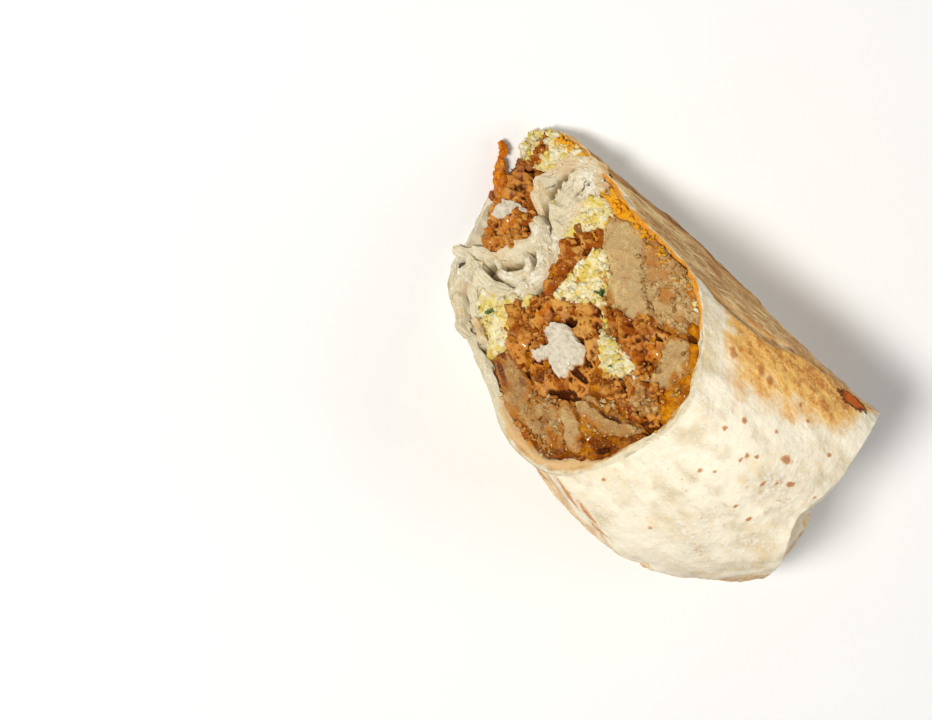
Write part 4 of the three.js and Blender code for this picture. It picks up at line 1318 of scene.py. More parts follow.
# Where melted cheese glows
BRIGHT = [
    (-12.6, 51.5, 6.5, 3.6, 100), (-34, 49, 3.4, 2.2, 100), (-26.5, 56.5, 4, 2.2, 100), (-31, 59, 4, 2, 60),
    (-10, 73.5, 7, 4, 20), (4, 71.5, 7, 2.4, 130), (-17, 56, 4, 2, 80),
]
print("pools:", len(SAUCE_SPOTS), "stained potatoes:", len(STAINED), "bright places:", len(BRIGHT))


# %% How far inside a place a point lies
def blob_share(blob, y, z):
    """1 in the middle of an ellipse given like a filling, 0 at its edge and beyond."""
    return np.clip(-ellipse_distance(blob, y, z) / blob[3], 0, 1)


def blobs_share(blobs, y, z):
    """The largest share that a point has in any of some ellipses."""
    return np.max([blob_share(blob, y, z) for blob in blobs] + [0 * y], axis=0)


def polygon_distance(corners, y, z):
    """Signed distance to a polygon, negative inside: the nearest edge, and the parity of the
    edges that a ray to one side crosses."""
    a = np.array(corners, float)
    b = np.roll(a, -1, 0)
    nearest, inside = np.full(y.shape, FAR_AWAY), np.zeros(y.shape, bool)
    for (ay, az), (by, bz) in zip(a, b):
        side_y, side_z = by - ay, bz - az
        along = np.clip(((y - ay) * side_y + (z - az) * side_z) / (side_y ** 2 + side_z ** 2), 0, 1)
        nearest = np.minimum(nearest, np.hypot(y - ay - along * side_y, z - az - along * side_z))
        inside ^= ((az > z) != (bz > z)) & (y < ay + (z - az) * side_y / (side_z + 1e-9))
    return np.where(inside, -nearest, nearest)


def section_of(points):
    """The y and z on the section of points of the frame."""
    return points[..., 1] - ORIGIN[1], points[..., 2] - ORIGIN[2]


def amber_share(points):
    """Sauce is brighter towards the griddled side and in some pools, and darker low down and
    at the far side of the cut."""
    y, z = section_of(points)
    share = 0.08 + 0.92 * ease(-40, 24, y) * (1 - 0.2 * ease(52, 70, z))
    return np.maximum(share, 0.68 * ease(0, 0.5, blobs_share(BRIGHT, y, z)))


meat_middle = np.mean(MEAT["chicken_lower"], axis=0)
meat_depth = -polygon_distance(MEAT["chicken_lower"], *meat_middle)
print("the middle of the white meat lies", round(float(meat_depth), 1), "mm inside its outline")

# %% [markdown]
# ### How each food breaks
#
# The three sizes of lumps are the same idea in every food, in other shares. Egg is curds all
# through. Fried crust is crags between sharp ridges, under crumbs. Potato and cheese are a
# soft plane that crumbles where they are weak. White meat tears into flakes along its fibres.

# %% Heights of each food's break
SMALL_LUMP, TINY_LUMP = 1.35, 0.72


def kind_of(name):
    """The food that a filling's name begins with."""
    return name.split("_")[0]


def three_lumps(at, bent, p, size, seed):
    """Big, small and tiny lumps, each with its cells' own numbers."""
    return lumps(at, size, seed), lumps(bent, SMALL_LUMP, seed + 3), lumps(p, TINY_LUMP, seed + 5)


def egg_break(p, bent, rugged, seed):
    """Curds of three sizes on soft swells, and their tone."""
    (big, big_own), (small, small_own), (tiny, tiny_own) = three_lumps(bent, bent, p, 2.7, seed)
    height = 0.7 * big + (0.7 * small + 0.4 * tiny) * rugged + 0.9 * noise(p, 4, 2, seed) - 0.9
    height += 0.25 * noise(p, 1.1, 3, seed)
    return height, 0.35 * big_own + 0.4 * small_own + 0.25 * tiny_own


def crust_break(name, y, z, p, bent, rugged, seed):
    """Crags between sharp ridges, under crumbs, flatter where the batter is pale."""
    big_at = p + 0.9 * (bent - p)
    (big, big_own), (small, small_own), (tiny, tiny_own) = three_lumps(big_at, bent, p, 4.2, seed)
    ridge = 1 - np.abs(noise(p, 5.5, 3, seed))
    height = 2.4 * (ridge ** 2 - 0.5) + 1.6 * big + (0.45 * small + 0.35 * tiny) * rugged
    height += 1.1 * noise(p, 7, 2, seed + 9) + 0.3 * noise(p, 1.2, 3, seed) - 1.4
    tone = 0.65 * big_own + 0.2 * small_own + 0.15 * tiny_own - DARKER.get(name, 0)
    raised = ease(0, 0.5, blobs_share(PALE_BATTER.get(name, []), y, z) + 0.15 * noise(p, 2, 3, seed))
    return height * (1 - 0.2 * raised) + 0.7 * raised * (name == "chicken_lower"), tone


def meat_in_crust(name, y, z, p, height, seed):
    """White meat let into a crust: a groove round it, and flakes drawn out along its fibres."""
    meat = ease(-0.5, 0.4, 0.5 * noise(p, 1.6, 3, seed) - polygon_distance(MEAT[name], y, z))
    height = height - 1.1 * ease(0, 0.3, meat) * (1 - ease(0.3, 0.9, meat))
    along, across = 0.8 * p[..., 0] + 0.6 * p[..., 1], 0.8 * p[..., 1] - 0.6 * p[..., 0]
    fibres = np.stack([along, 0.45 * across, p[..., 2]], -1)
    _, _, flake = cells(fibres + 0.35 * noise(p, 1.5, 2, 9)[..., None], 1.7, seed + 30)
    flesh = 0.9 + 0.5 * flake + 0.15 * noise(fibres, 0.7, 2, seed) + 0.5 * noise(p, 4, 2, seed)
    return height * (1 - meat) + flesh * meat, meat


def mealy_break(name, y, z, p, bent, rugged, seed):
    """A soft plane that crumbles where the food is weak and outside its own ellipse."""
    (big, big_own), (small, small_own), (tiny, _) = three_lumps(bent, bent, p, 2.3, seed)
    crumbly = CRUMBLY.get(name, 0.12) * rugged
    crumbly = crumbly + 0.5 * ease(-1.2, 0.6, ellipse_distance(FILLINGS[name], *swayed(y, z)))
    swell = 0.5 if kind_of(name) == "potato" else 0.9
    smooth = swell * noise(p, 5, 2, seed) + 0.2 * noise(p, 1.3, 3, seed)
    height = smooth + crumbly * (1.2 * big + 0.7 * small + 0.4 * tiny - 1.1)
    return height, BROWNED.get(name, 0.5) + crumbly * (0.6 * big_own + 0.6 * small_own - 0.6)


print("lumps that every food shares are", SMALL_LUMP, "and", TINY_LUMP, "mm wide")


# %% The whole break of a face
def break_of(name, y, z, seed):
    """Height in millimetres of a food's broken face, less its cracks and hollows, with its
    tone, its share of meat and how deep in shade it lies."""
    p = np.stack([y, z, np.full_like(y, 11.7 * seed)], -1)
    bent = p + 0.55 * np.stack([noise(p, 1.9, 2, 61), noise(p, 1.9, 2, 62), 0 * y], -1)
    rugged = 0.3 + 0.7 * ease(-0.5, 0.4, noise(p, 4.5, 2, seed + 12))
    meat = 0 * y
    if kind_of(name) == "egg":
        height, tone = egg_break(p, bent, rugged, seed)
    elif kind_of(name) == "chicken":
        height, tone = crust_break(name, y, z, p, bent, rugged, seed)
    else:
        height, tone = mealy_break(name, y, z, p, bent, rugged, seed)
    if name in MEAT:
        height, meat = meat_in_crust(name, y, z, p, height, seed)
    cracked = 1 - ease(0.15, 0.75, read_grid(crack_grid, y, z) + 0.35 * noise(p, 1.4, 3, 7))
    height = height - 1.7 * cracked
    for *blob, deep in HOLLOWS.get(name, []):
        share = blob_share(blob + [0], y, z)
        height = height - deep * ease(0, 0.6, share + 0.2 * noise(p, 1.5, 2) * (share > 0))
    shade = 0 * y
    for *blob, strong in SHADE:
        share = blob_share(blob + [0], y, z)
        shade = np.maximum(shade, strong * ease(0, 0.6, share + 0.25 * noise(p, 1.8, 2, 17) * (share > 0)))
    return height - 0.9 * shade, tone, meat, shade


sampled = break_of("egg_middle", *np.mgrid[0:4:0.5, 34:38:0.5], 3)[0]
print("a patch of egg runs from", sampled.min().round(2), "to", sampled.max().round(2), "mm")

# %% [markdown]
# ### Creases found from the heights
#
# A crease looks dark because little light gets in. The finish can't see its surroundings, so
# each point gets a number here: how far it stands above the average of what lies around it,
# near and wide. The average is a Gaussian blur, which is quick as a product of waves.

# %% The break read at a face's points, with its cavities
FACE_STEP = 0.18


def blurred(grid, size):
    """A grid blurred by a Gaussian of a size in millimetres, by way of its waves."""
    across = np.fft.fftfreq(grid.shape[0], FACE_STEP)[:, None]
    along = np.fft.rfftfreq(grid.shape[1], FACE_STEP)
    kept = np.exp(-2 * (np.pi * size) ** 2 * (across ** 2 + along ** 2))
    return np.fft.irfft2(np.fft.rfft2(grid) * kept, s=grid.shape)


def face_fields(name, y, z, seed):
    """The break worked out on a square grid over a face and read at its own points. The share
    of cavity compares each height with its surroundings: 0 sunk, 1 standing out."""
    corner = (y.min() - 2, z.min() - 2)
    square = np.mgrid[corner[0]:y.max() + 2:FACE_STEP, corner[1]:z.max() + 2:FACE_STEP]
    height, tone, meat, shade = break_of(name, *square, seed)
    near, wide = height - blurred(height, 0.5), height - blurred(height, 2.2)
    cavity = np.clip(0.58 + 0.45 * near + 0.34 * wide, 0, 1)
    cavity = np.clip(cavity - 0.4 * shade, 0, 1)
    cavity = cavity * (1 - meat) + meat * np.clip(0.75 + 0.5 * near, 0, 1)
    return [read_grid(field, y, z, corner, FACE_STEP) for field in (height, cavity, tone, meat)]


print("a blur keeps the mean:", bool(np.isclose(blurred(sampled, 0.5).mean(), sampled.mean())))


# %% A face's points
FACET = 0.21


def face_grid(name):
    """A filling's points on the cut, on a polar grid about its middle with steps of about
    FACET: y, z, the share of the way out to the edge, and the distance left to it."""
    middle = held_middle(name)
    rough_reach = outline(name, middle, np.linspace(0, TURN, OUTLINE_STEPS, endpoint=False))
    sides = int(np.clip(TURN * rough_reach.mean() * 1.3 / FACET, 120, 400))
    n_rings = int(np.clip(rough_reach.max() / FACET, 24, 90))
    angles = full_turn(sides)
    reach = outline(name, middle, angles)
    share = (np.linspace(0.0, 1, n_rings) ** 0.85)[:, None] + 0 * angles
    share[0] = 0.01
    y = middle[0] + reach * share * np.cos(angles)
    z = middle[1] + reach * share * np.sin(angles)
    return y, z, share, reach * (1 - share)


print("rings and sides of egg_upper's grid:", face_grid("egg_upper")[0].shape)


# %% A filling as a polar body
WALL_DEPTHS = [2.0, 3.2, 5, 8, 14, 26, 44]
# What the finish's numbers are on the hidden walls, where they aren't 0
ON_WALLS = {"pit": 0.2, "tone": 0.5, "sauce": 0.6}
# How much sauce each food takes up beyond its own ellipse
SOAKS = {"potato": 0.9, "egg": 0.4, "chicken": 0.35, "cheese": 0.0}
fronts, edges = {}, {}


def filling_piece(name, seed):
    """Rings from the middle of the face out to its edge, then back along the half. The face
    stands proud by its crown and its break, sinks under sauce outside its own ellipse, and
    rolls over at the edge."""
    is_potato = kind_of(name) == "potato"
    proud = FILLINGS[name][5]
    y, z, share, from_edge = face_grid(name)
    height, cavity, tone, meat = face_fields(name, y, z, seed)
    rolled = ease(0, 1.0, from_edge)
    p = np.stack([y, z, 0 * y + 5.3 * seed], -1)
    # Where sauce lies: beyond its own ellipse, in pools, and on stained potato
    own = ellipse_distance(FILLINGS[name], *swayed(y, z)) + 0.6 * noise(p, 2.2, 3, seed)
    sauced_from, sauced_to = SAUCE_EDGE.get(name, (0.3, 2.2))
    beyond = ease(sauced_from, sauced_to, own) * (kind_of(name) != "cheese")
    pooled = ease(0, 0.5, blobs_share(SAUCE_SPOTS, y, z) + 0.25 * noise(p, 2, 3, seed) - 0.1)
    sauce = SOAKS[kind_of(name)] * beyond
    if is_potato:
        sauce = np.maximum(sauce, 0.42 * ease(-1.1, 0.1, own - sauced_from))
    for *blob, strong in STAINED.get(name, []):
        stained = ease(0, 0.7, blob_share(blob + [0], y, z) + 0.25 * noise(p, 3, 3, seed + 1))
        sauce = np.maximum(sauce, strong * stained)
    # The face, out of the cut, and the walls behind its edge
    under = 0.7 * beyond * is_potato
    grit = 0.16 * noise(p, 0.75, 2, seed + 8) * (1 - 0.7 * meat)
    out = proud * (1 - share ** 3) + (height * (1 - 0.4 * beyond) + grit) * (0.3 + 0.7 * rolled) - under
    out -= 0.5 * (1 - ease(0, 0.7, from_edge))
    face = place_from_cut(-out, y, z)
    jitter = np.stack([0 * y, noise(face, 0.9, 2, seed + 4), noise(face, 0.9, 2, seed + 6)], -1)
    face = face + 0.16 * jitter * rolled[..., None]
    fronts[name] = face[share[:, 0] < 0.97]
    edges[name] = face[share[:, 0] > 0.86]
    wall_depth = np.array(WALL_DEPTHS)[:, None] + 0 * y[-1]
    wall_y, wall_z = (np.broadcast_to(edge, wall_depth.shape) for edge in (y[-1], z[-1]))
    rings = np.concatenate([face, place_inside(wall_depth, wall_y, wall_z)])
    # What the finish reads
    browned = blobs_share(BROWN_BITS.get(name, []), y, z) + 0.3 * noise(p, 1.5, 2, 3) - 0.1
    on_face = {
        # pit paints shade in the creases, and more where the face rolls over at its edge
        "pit": cavity * (0.6 + 0.4 * rolled),
        "tone": tone,
        "meat": meat,
        "sauce": np.maximum(sauce, pooled * 0.85),
        "light": ease(0, 0.4, blobs_share(PALE_BATTER.get(name, []), y, z)),
        "orange": ease(0, 0.5, blobs_share(GOLDEN.get(name, []), y, z) + 0.25 * noise(p, 2, 2, 5)),
        "brown": ease(0, 0.5, browned),
    }
    numbers = {
        key: np.concatenate([value, np.full(wall_depth.shape, ON_WALLS.get(key, 0.0))])
        for key, value in on_face.items()
    }
    return ring_mesh(name + "_food", rings, {**numbers, "amber": amber_share(rings)})


SLOTS = {"chicken": CHICKEN, "egg": EGG, "potato": POTATO, "cheese": CHEESE}
for seed, name in enumerate(FILLINGS):
    piece = dress(filling_piece(name, seed + 1), SLOTS[kind_of(name)], [name])
    print(name, triangles(piece), "triangles")

# %% [markdown]
# ### What lies between
#
# Sauce has soaked into the gaps between the fillings, and crumpled dough fills the room
# between the folds. Both are low ground behind the cut. Each is one disc in the burrito's
# coordinates that keeps close behind the cut where it belongs and sinks elsewhere.

# %% What shows where behind the cut
def deep_shade(y, z):
    """How far into the darkest hollows a point lies."""
    return blobs_share([(*blob[:5], 0) for blob in SHADE if blob[5] > 0.6], y, z)


def dough_share(y, z):
    """Between folds and clear of the fillings and the pocket."""
    near_fold = 1 - ease(4.5, 6.5, read_grid(fold_grid, y, z))
    return near_fold * ease(-1.2, 0.2, food_distance(y, z)) * ease(0, 1, ellipse_distance(POCKET, y, z) - 2.5)


def sauce_share(y, z):
    """Under and between the fillings, away from the pocket and the folds."""
    near_food = (1 - ease(1, 4, food_distance(y, z))) * ease(0, 3, z - 14 - 0.3 * y)
    return (1 - dough_share(y, z)) * near_food * (1 - ease(0, 0.3, deep_shade(y, z)))


print("dough's share beside the roll's core:", round(float(dough_share(-8.0, 22.5)), 2))


# %% Sauce and inner dough
GROUND_SIDES, GROUND_RINGS = 300, 110
GROUND_LOW, GROUND_THICK = 10, 3


def low_ground(name, shows, high, seed, layered=0):
    """A closed disc: reach and angle on the section, with depth between a high ground where
    its share is 1 and a low one where it is 0, and a flat back."""
    angles = full_turn(GROUND_SIDES)
    reach = np.linspace(0.01, 1, GROUND_RINGS)[:, None] * (1 - wall_share(angles) * 1.3)
    y = CUT_CENTRE[0] + around(CUT_RADII, angles) * reach * np.cos(angles)
    z = CUT_CENTRE[1] + around(CUT_RADII, angles) * reach * np.sin(angles)
    p = np.stack([y, z, np.full_like(y, 3.1 * seed)], -1)
    share = shows(y, z)
    ridge = 1 - np.abs(noise(p, 4, 2, seed))
    layers = ease(0.2, 0.5, np.abs((read_grid(fold_grid, *swayed(y, z)) / LAYER) % 1 - 0.5)) * layered
    depth = GROUND_LOW + (high - GROUND_LOW) * share - 1.5 * (ridge - 0.6) * share
    depth = depth - 0.3 * noise(p, 1.3, 3, seed) + layers
    face = place_inside(depth, y, z)
    back = place_inside(np.full_like(y, GROUND_LOW + GROUND_THICK), y[::-1], z[::-1])
    points = np.concatenate([face, back])
    on_face = {
        "stain": 0.1 + 0.4 * (1 - ease(0.3, 3, food_distance(y, z))),
        # line darkens all the dough here, a painted shade behind the folds, more along its layers and ridges;
        # pit paints shade low between the sauce's ridges
        "line": 0.55 + layers + 0.4 * ease(0.3, 0.8, ridge),
        "pit": ease(0.1, 0.9, ridge),
    }
    numbers = {key: np.concatenate([value, 0 * y]) for key, value in on_face.items()}
    numbers["inside"], numbers["amber"] = np.ones(points.shape[:2]), amber_share(points)
    return ring_mesh(name, points, numbers)


inner_dough = low_ground("inner_dough", dough_share, 2.6, 41, layered=0.2)
dress(inner_dough, "tortilla", ["tortilla"])
sauce = low_ground("sauce_film", sauce_share, 0.9, 43)
dress(sauce, CHEESE)
print("low ground:", triangles(inner_dough) + triangles(sauce), "triangles")

# %% [markdown]
# ### The shard of batter
#
# A splinter of fried batter sticks up out of the pocket. It is a thin uneven body carried
# along a line of stations, each with its place on the cut, its distance out and its half
# width.

# %% Shard
SHARD_RINGS, SHARD_SIDES = 110, 64
# y, z, how far out of the cut, half width
SHARD = [
    (2.4, 8, -2, 2.2), (4.6, 6.8, 2, 2.1), (7.4, 5.8, 4, 1.75), (9.4, 5.4, 4.8, 1.35),
    (10.8, 5.2, 5.4, 0.75), (12.2, 5.9, 6.2, 1.35), (13.5, 5.2, 6.9, 1.1), (14, 4.8, 7.1, 0.6),
]


def unit(vectors):
    """Vectors shortened to a length of 1."""
    return vectors / np.linalg.norm(vectors, axis=-1, keepdims=True)


def shard_piece():
    """Circles along a curve through the stations, made lumpy by cells."""
    share = np.linspace(0, LAST_SHARE, SHARD_RINGS)
    station_share = np.linspace(0, 1, len(SHARD))
    stations = np.array(SHARD)
    line = spline(stations[:, :2], share)
    out, half = (np.interp(share, station_share, stations[:, column]) for column in (2, 3))
    middle = place_from_cut(-out, line[:, 0], line[:, 1])
    angles = full_turn(SHARD_SIDES)
    ahead = np.gradient(middle, axis=0)
    sideways = np.cross(ahead, (0, 0, 1))
    upwards = unit(np.cross(sideways, ahead))[:, None]
    circle = unit(sideways)[:, None] * np.cos(angles)[:, None] + upwards * np.sin(angles)[:, None]
    tip = ease(0, 0.06, 1 - share)
    rings = middle[:, None] + circle * (half * (0.25 + 0.75 * tip))[:, None, None]
    outwards = unit(rings - middle[:, None])
    bump, own = lumps(rings + 0.3 * noise(rings, 1.2, 2, 76)[..., None], 1.3, 77)
    rings = rings + outwards * (0.7 * bump - 0.45 + 0.5 * noise(rings, 2.4, 3, 78))[..., None]
    numbers = {"pit": 0.5 + 0.4 * bump, "tone": 0.4 + 0.4 * own}
    return ring_mesh("batter_shard", rings, {**numbers, "light": 0.1 + 0 * bump, "orange": 1.2 + 0 * bump})


shard = dress(shard_piece(), CHICKEN, ["chicken_pocket"])
print("shard:", triangles(shard), "triangles")

# %% [markdown]
# ## Crumbs
#
# Small crumbs break the outlines of the foods and carry one food's colour onto the next. A
# particle system would need its instances made real for the export. Here one coarse lump is
# copied by array arithmetic: turned, stretched and dented anew each time.

# %% The ball that every crumb begins as
seed_ball = bmesh.new()
bmesh.ops.create_cube(seed_ball, size=2)
bmesh.ops.subdivide_edges(seed_ball, edges=seed_ball.edges, cuts=1, use_grid_fill=True)
seed_ball.verts.index_update()
BALL = np.array([v.co.normalized() for v in seed_ball.verts])
BALL_FACES = np.array([[v.index for v in f.verts] for f in seed_ball.faces])
seed_ball.free()
print("crumb ball:", len(BALL), "points,", len(BALL_FACES), "faces")


# %% Scattered lumps
def turns(count, rng):
    """Random rotation matrices, from quaternions with normally spread parts."""
    q = rng.normal(size=(count, 4))
    w, x, y, z = (q / np.linalg.norm(q, axis=1, keepdims=True)).T
    return np.stack([
        np.stack([1 - 2 * (y * y + z * z), 2 * (x * y - w * z), 2 * (x * z + w * y)], -1),
        np.stack([2 * (x * y + w * z), 1 - 2 * (x * x + z * z), 2 * (y * z - w * x)], -1),
        np.stack([2 * (x * z - w * y), 2 * (y * z + w * x), 1 - 2 * (x * x + y * y)], -1),
    ], -2)


def scatter(name, centres, sizes, seed, flat=1.0, shade=0.56, sauce=0.0):
    """One mesh of lumps: a ball whose points are dented by noise, stretched, turned, scaled
    and moved to each centre. flat below 1 thins a lump along one of its axes, shade is how
    far the lumps stand out of the shade between the foods, and sauce how far they are soaked."""
    rng = np.random.default_rng(seed)
    count = len(centres)
    dents = 1 + 0.75 * noise(BALL[None] * 1.3 + rng.uniform(0, 500, (count, 1, 3)), 1, 2)
    stretch = rng.uniform(0.5, 1.3, (count, 1, 3)) * np.array([1, 1, flat])
    lump = BALL[None] * dents[..., None] * stretch
    lump = np.einsum("nij,nkj->nki", turns(count, rng), lump) * sizes[:, None, None] + centres[:, None]
    lump[..., 2] -= np.minimum(lump[..., 2].min(1, keepdims=True), 0)
    faces = BALL_FACES[None] + (len(BALL) * np.arange(count))[:, None, None]
    mesh = bpy.data.meshes.new(name)
    fill_mesh(mesh, lump.reshape(-1, 3), [faces.reshape(-1, 4)])
    own = np.repeat(rng.uniform(0, 1, count), len(BALL))
    raised = 0.9 * (dents.reshape(-1) - 0.8)
    write_number(mesh, "tone", own)
    write_number(mesh, "pit", np.clip(shade + raised, 0, 1))
    write_number(mesh, "sauce", 0 * own + sauce)
    write_number(mesh, "amber", amber_share(lump).reshape(-1))
    return finish_object(name, mesh)


sample = turns(100, np.random.default_rng(1))
print("turns keep their volume:", bool(np.allclose(np.linalg.det(sample), 1)))

# %% [markdown]
# ### Where crumbs lie
#
# Crumbs fall from a food onto its own face and along its edges, where foods have mixed. No
# crumb of crust or potato meal hangs in a crack or a hollow, because it would have dropped in
# and be too dark to see.

# %% Places for crumbs
def on_fronts(names, count, rng):
    """Random points of the faces of some fillings, shared out by their areas."""
    weights = np.array([areas[name] for name in names])
    which = rng.choice(len(names), count, p=weights / weights.sum())
    points = []
    for number, name in enumerate(names):
        face = fronts[name]
        wanted = (which == number).sum()
        ring = (np.sqrt(rng.uniform(0, 1, wanted)) * (len(face) - 1)).astype(int)
        points.append(face[ring, rng.integers(0, face.shape[1], wanted)])
    return np.concatenate(points)


def on_edges(names, count, rng):
    """Random points along the edges of some fillings, where foods have mixed."""
    points = np.concatenate([edges[name].reshape(-1, 3) for name in names])
    return points[rng.integers(0, len(points), count)] + rng.normal(0, 0.35, (count, 3))


def on_cut(y, z, out=0.6):
    """Points that stand a little out of the cut."""
    return place_from_cut(-(out + 0 * y), y, z)


def clear_of_gaps(points):
    """True for points that lie neither in a crack nor in the deep shade of a hollow."""
    y, z = section_of(points)
    return (read_grid(crack_grid, y, z) > 0.7) & (deep_shade(y, z) < 0.1)


def crumb_sizes(count, least, most, rng):
    """Many small crumbs and few large ones: the cube of an even draw."""
    return least + (most - least) * rng.uniform(0, 1, count) ** 3


sampled = crumb_sizes(1000, 0.2, 1, np.random.default_rng(1))
print("crumbs from 0.2 to 1 mm are", sampled.mean().round(2), "mm wide on average")

# %% [markdown]
# ### Crumbs of each food
#
# Each kind is one mesh, so that it keeps its own finish and the export handles few pieces.
# The largest kinds cover whole foods, and the others are strewn where they were found.

# %% Crumbs all over the foods
rng = np.random.default_rng(11)
SUNK = CUT_NORMAL * 0.05


def sprinkle(name, slot, points, least, most, seed, **looks):
    """Crumbs of random sizes at some points, with the next draws of rng."""
    sizes = crumb_sizes(len(points), least, most, rng)
    return dress(scatter(name, points, sizes, seed, **looks), slot)


eggs, chickens, potatoes = (
    [name for name in FILLINGS if kind_of(name) == kind] for kind in ("egg", "chicken", "potato")
)
egg_points = np.concatenate([on_fronts(eggs, 400, rng), on_edges(eggs, 260, rng)])
sprinkle("egg_curds", EGG, egg_points - SUNK, 0.25, 1.15, 12)
# Curds spread over the sauce between the two lower pieces of chicken
SPREAD_EGG = [
    (-7.9, 50.2), (-5.8, 50.8), (-7.9, 54.9), (-10.6, 58.1), (-13.8, 56.3), (-13.6, 53.3), (-11.3, 51.2),
]
spread_y, spread_z = rng.uniform(-14, -5.5, 620), rng.uniform(50, 58.3, 620)
kept = polygon_distance(SPREAD_EGG, spread_y, spread_z) < 0
sprinkle("spread_curds", EGG, on_cut(spread_y[kept], spread_z[kept], 0.35), 0.4, 1.2, 22)
# Crust crumbs, but none on the white meat
crust_points = np.concatenate([on_fronts(chickens, 620, rng), on_edges(chickens, 420, rng)])
crust_at = section_of(crust_points)
from_meat = np.min([polygon_distance(corners, *crust_at) for corners in MEAT.values()], axis=0)
crust_points = crust_points[from_meat > 0.4]
crust_points = crust_points[clear_of_gaps(crust_points)]
sprinkle("crust_crumbs", CHICKEN, crust_points - SUNK, 0.22, 1.0, 13, shade=0.48)
# Potato meal, on the crumbly potatoes and at every potato's edge
meal_fronts = on_fronts(["potato_crumble", "potato_corner"], 300, rng)
meal_points = np.concatenate([meal_fronts, on_edges(potatoes, 420, rng)])
meal_points = meal_points[clear_of_gaps(meal_points)]
sprinkle("potato_meal", POTATO, meal_points, 0.18, 0.7, 14)
print("crumbs:", len(egg_points) + kept.sum() + len(crust_points) + len(meal_points))

# %% Bits strewn along lines of the cut
# name: slot, spread, count, least and most size, how far out of the shade, line
STREWN = {
    "dark_crust_bits": (CHICKEN, 0.6, 80, 0.4, 1.2, 0.38, [
        (22.6, 8.4), (20, 8.6), (17.6, 8.9), (15.2, 8.4), (13, 6.6), (10.7, 6.3)]),
    "left_crust_bits": (CHICKEN, 1.3, 110, 0.5, 1.7, 0.62, [
        (-15.6, 25.6), (-18, 26.8), (-19.6, 29.4), (-17.5, 30.4)]),
    "rim_cheese_bits": (CHEESE, 0.8, 60, 0.25, 0.8, 0.9, [
        (20.4, 31), (19.8, 36), (19.2, 43), (18.2, 49.5), (16.4, 56.6), (14, 63)]),
    "rim_curds": (EGG, 0.35, 60, 0.4, 1.0, 0.7, [
        (16.2, 4), (18.6, 4.4), (20.6, 5.4), (22.2, 7.2), (23.6, 9.4), (24.4, 12)]),
    "orange_curds": (CHEESE, 0.6, 22, 0.4, 0.9, 0.9, [(23, 11), (24.2, 14), (24.6, 17)]),
    "juicy_crust_bits": (CHICKEN, 1.1, 110, 0.4, 1.4, 0.62, [
        (-14.6, 56.5), (-13, 59.5), (-12, 63), (-9.5, 61.5), (-7, 63.5)]),
    "mealy_bits": (POTATO, 1.0, 50, 0.6, 1.6, 0.7, [(-10.8, 63.5), (-12.8, 66), (-14.2, 68.5)]),
    "low_crust_bits": (CHICKEN, 0.8, 60, 0.4, 1.2, 0.5, [(-15, 71.5), (-13, 71), (-10.5, 69.5), (-8, 69)]),
    "corner_crust_bits": (CHICKEN, 0.5, 26, 0.4, 1.2, 0.5, [(-36.8, 41), (-37.4, 46), (-36.8, 50)]),
    "pocket_crust_bits": (CHICKEN, 1.4, 110, 0.5, 1.5, 0.72, [
        (-5.5, 14), (-3.2, 12.8), (-1, 13.6), (-2.6, 15)]),
}
for number, (name, (slot, spread, count, least, most, shade, line)) in enumerate(STREWN.items()):
    ways = spline(line, rng.uniform(0, LAST_SHARE, count)) + rng.normal(0, spread, (count, 2))
    strewn_points = on_cut(ways[:, 0], ways[:, 1], rng.uniform(0.2, 1.4, count))
    soaked = 0.3 * (slot == POTATO)
    sprinkle(name, slot, strewn_points, least, most, 50 + number, shade=shade, sauce=soaked)
print("strewn:", {name: row[2] for name, row in STREWN.items()})

# %% Potato bits in groups, and what sticks to the folds
BITS_EACH, DOUGH_CRUMBS, EGG_BITS = 9, 170, 45
BITS = [
    (12.2, 55.8), (4.8, 58), (-12.2, 65.5), (-14.5, 64.8), (-18.4, 59.4), (-5.6, 48.4), (7.2, 65.1),
    (-8.1, 62.6), (-12.5, 70.1), (-5.8, 72.8), (-12.9, 67.6), (-16.6, 61.6), (-10.4, 67.4), (11, 60.4),
    (8.6, 61.6), (-27.2, 44.6),
]
bits = np.repeat(np.array(BITS), BITS_EACH, axis=0) + rng.normal(0, 0.85, (BITS_EACH * len(BITS), 2))
sprinkle("potato_bits", POTATO, on_cut(bits[:, 0], bits[:, 1], 0.2), 0.3, 1.15, 21, flat=0.7)
crumbed_folds = ["ruffle_outer", "ruffle_middle", "ruffle_inner", "roll"]
fold_points = np.concatenate([fold_fronts[name].reshape(-1, 3) for name in crumbed_folds])
dough_points = fold_points[rng.integers(0, len(fold_points), DOUGH_CRUMBS)]
sprinkle("dough_crumbs", "tortilla", dough_points, 0.2, 0.7, 18)
egg_bits = dough_points[rng.integers(0, DOUGH_CRUMBS, EGG_BITS)] + rng.normal(0, 0.6, (EGG_BITS, 3))
sprinkle("egg_bits", EGG, egg_bits, 0.2, 0.7, 19)
print("bits:", len(bits), DOUGH_CRUMBS, EGG_BITS)

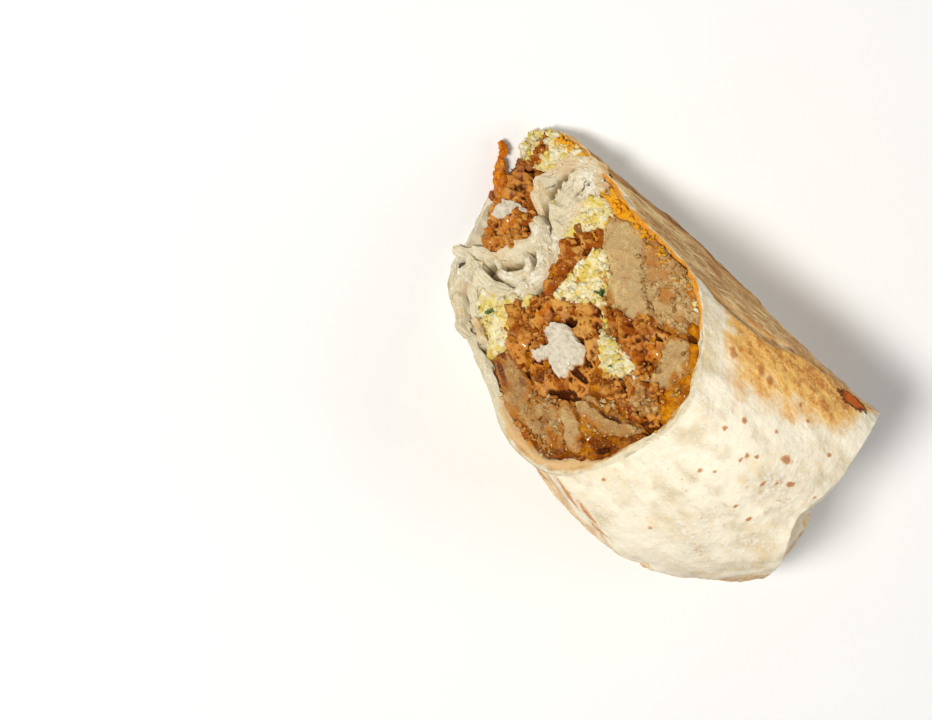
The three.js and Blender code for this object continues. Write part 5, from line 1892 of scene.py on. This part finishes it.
# %% Herbs, a dark speck and stray bits
# name: slot, how far out of the cut, seed, looks, and the y, z and size of each
SINGLE = {
    "herbs": (EGG, 1.6, 15, {"flat": 0.25}, [
        (0.9, 43.9, 1.0), (0.2, 42.6, 0.7), (-21.1, 19.8, 0.9), (-20.2, 20.6, 0.6), (-11.5, 55.8, 0.6)]),
    "dark_speck": (CHICKEN, 0.5, 16, {"shade": -0.5}, [
        (-28.4, 64.1, 0.9), (-27.6, 64.8, 0.7), (-29.3, 63.4, 0.6)]),
    "stray_egg": (EGG, 0.8, 17, {}, [
        (13.5, 66.0, 0.9), (12.6, 66.9, 0.6), (7.8, 7.5, 1.5), (-6.6, 33.4, 1.3), (-5.2, 33.2, 0.9),
        (-2.5, 46.5, 1.0), (-3.6, 47.8, 0.8)]),
}
for name, (slot, out, seed, looks, places) in SINGLE.items():
    y, z, sizes = np.array(places).T
    own_finish = herb_green if name == "herbs" else None
    dress(scatter(name, on_cut(y, z, out), sizes, seed, **looks), slot, material=own_finish)
print("single bits:", {name: len(row[-1]) for name, row in SINGLE.items()})

# %% [markdown]
# ## Floor, light and camera
#
# Food looks soft under one broad light with plenty of fill. A large area light hangs nearly
# overhead, and a pale world fills the rest. The camera looks down steeply with a long lens.

# %% Floor and light
ROOM_GLOW = 0.24
bpy.ops.mesh.primitive_plane_add(size=3, location=(0, 0, 0))
floor = bpy.context.object
floor.name = "floor"
pale = Finish("pale_floor")
pale_colour = pale.mix("f8f8f7", "fbfbfa", pale.grain(40, 2))
floor.data.materials.append(pale.finish(pale_colour, 0.7 + pale.grain(3, 2) * 0.1, pale.grain(2, 2), 0.02))

world = bpy.data.worlds.new("soft_room")
world.use_nodes = True
background = world.node_tree.nodes["Background"]
background.inputs["Color"].default_value = (1, 1, 1, 1)
background.inputs["Strength"].default_value = ROOM_GLOW
bpy.context.scene.world = world


def soft_light(name, place, size, power, tint=(1, 1, 1)):
    """An area light that faces the burrito's middle."""
    data = bpy.data.lights.new(name, "AREA")
    data.size, data.energy, data.color = size, power, tint
    light = bpy.data.objects.new(name, data)
    light.location = place
    aim = Matrix.Translation((0, 0, 0.04)).translation - light.location
    light.rotation_euler = aim.to_track_quat("-Z", "Y").to_euler()
    bpy.context.scene.collection.objects.link(light)


soft_light("key", (-0.42, -0.3, 1.0), 0.22, 9.9, (1, 0.98, 0.94))
soft_light("fill", (0.75, 0.55, 0.75), 0.7, 3.1, (1, 0.99, 0.97))
print("lights:", [light.name for light in bpy.data.lights], "and a world of", ROOM_GLOW)

# %% Camera
# Its own right, up and backward directions, and its place in metres
RIGHT = (0.72263, 0.66425, 0.19123)
UP = (-0.64062, 0.74749, -0.17567)
BACK = (-0.25963, 0.00444, 0.9657)
CAMERA_PLACE = (-0.273965, -0.020564, 0.901522)
LENS, SENSOR = 139.056, 36
camera_data = bpy.data.cameras.new("camera")
camera_data.lens, camera_data.sensor_width = LENS, SENSOR
camera = bpy.data.objects.new("camera", camera_data)
pose = Matrix((RIGHT, UP, BACK)).transposed().to_4x4()
pose.translation = CAMERA_PLACE
camera.matrix_world = pose
bpy.context.scene.collection.objects.link(camera)
scene = bpy.context.scene
scene.camera = camera
scene.view_settings.view_transform = "Standard"
print("camera stands at", CAMERA_PLACE, "with a lens of", LENS, "mm")
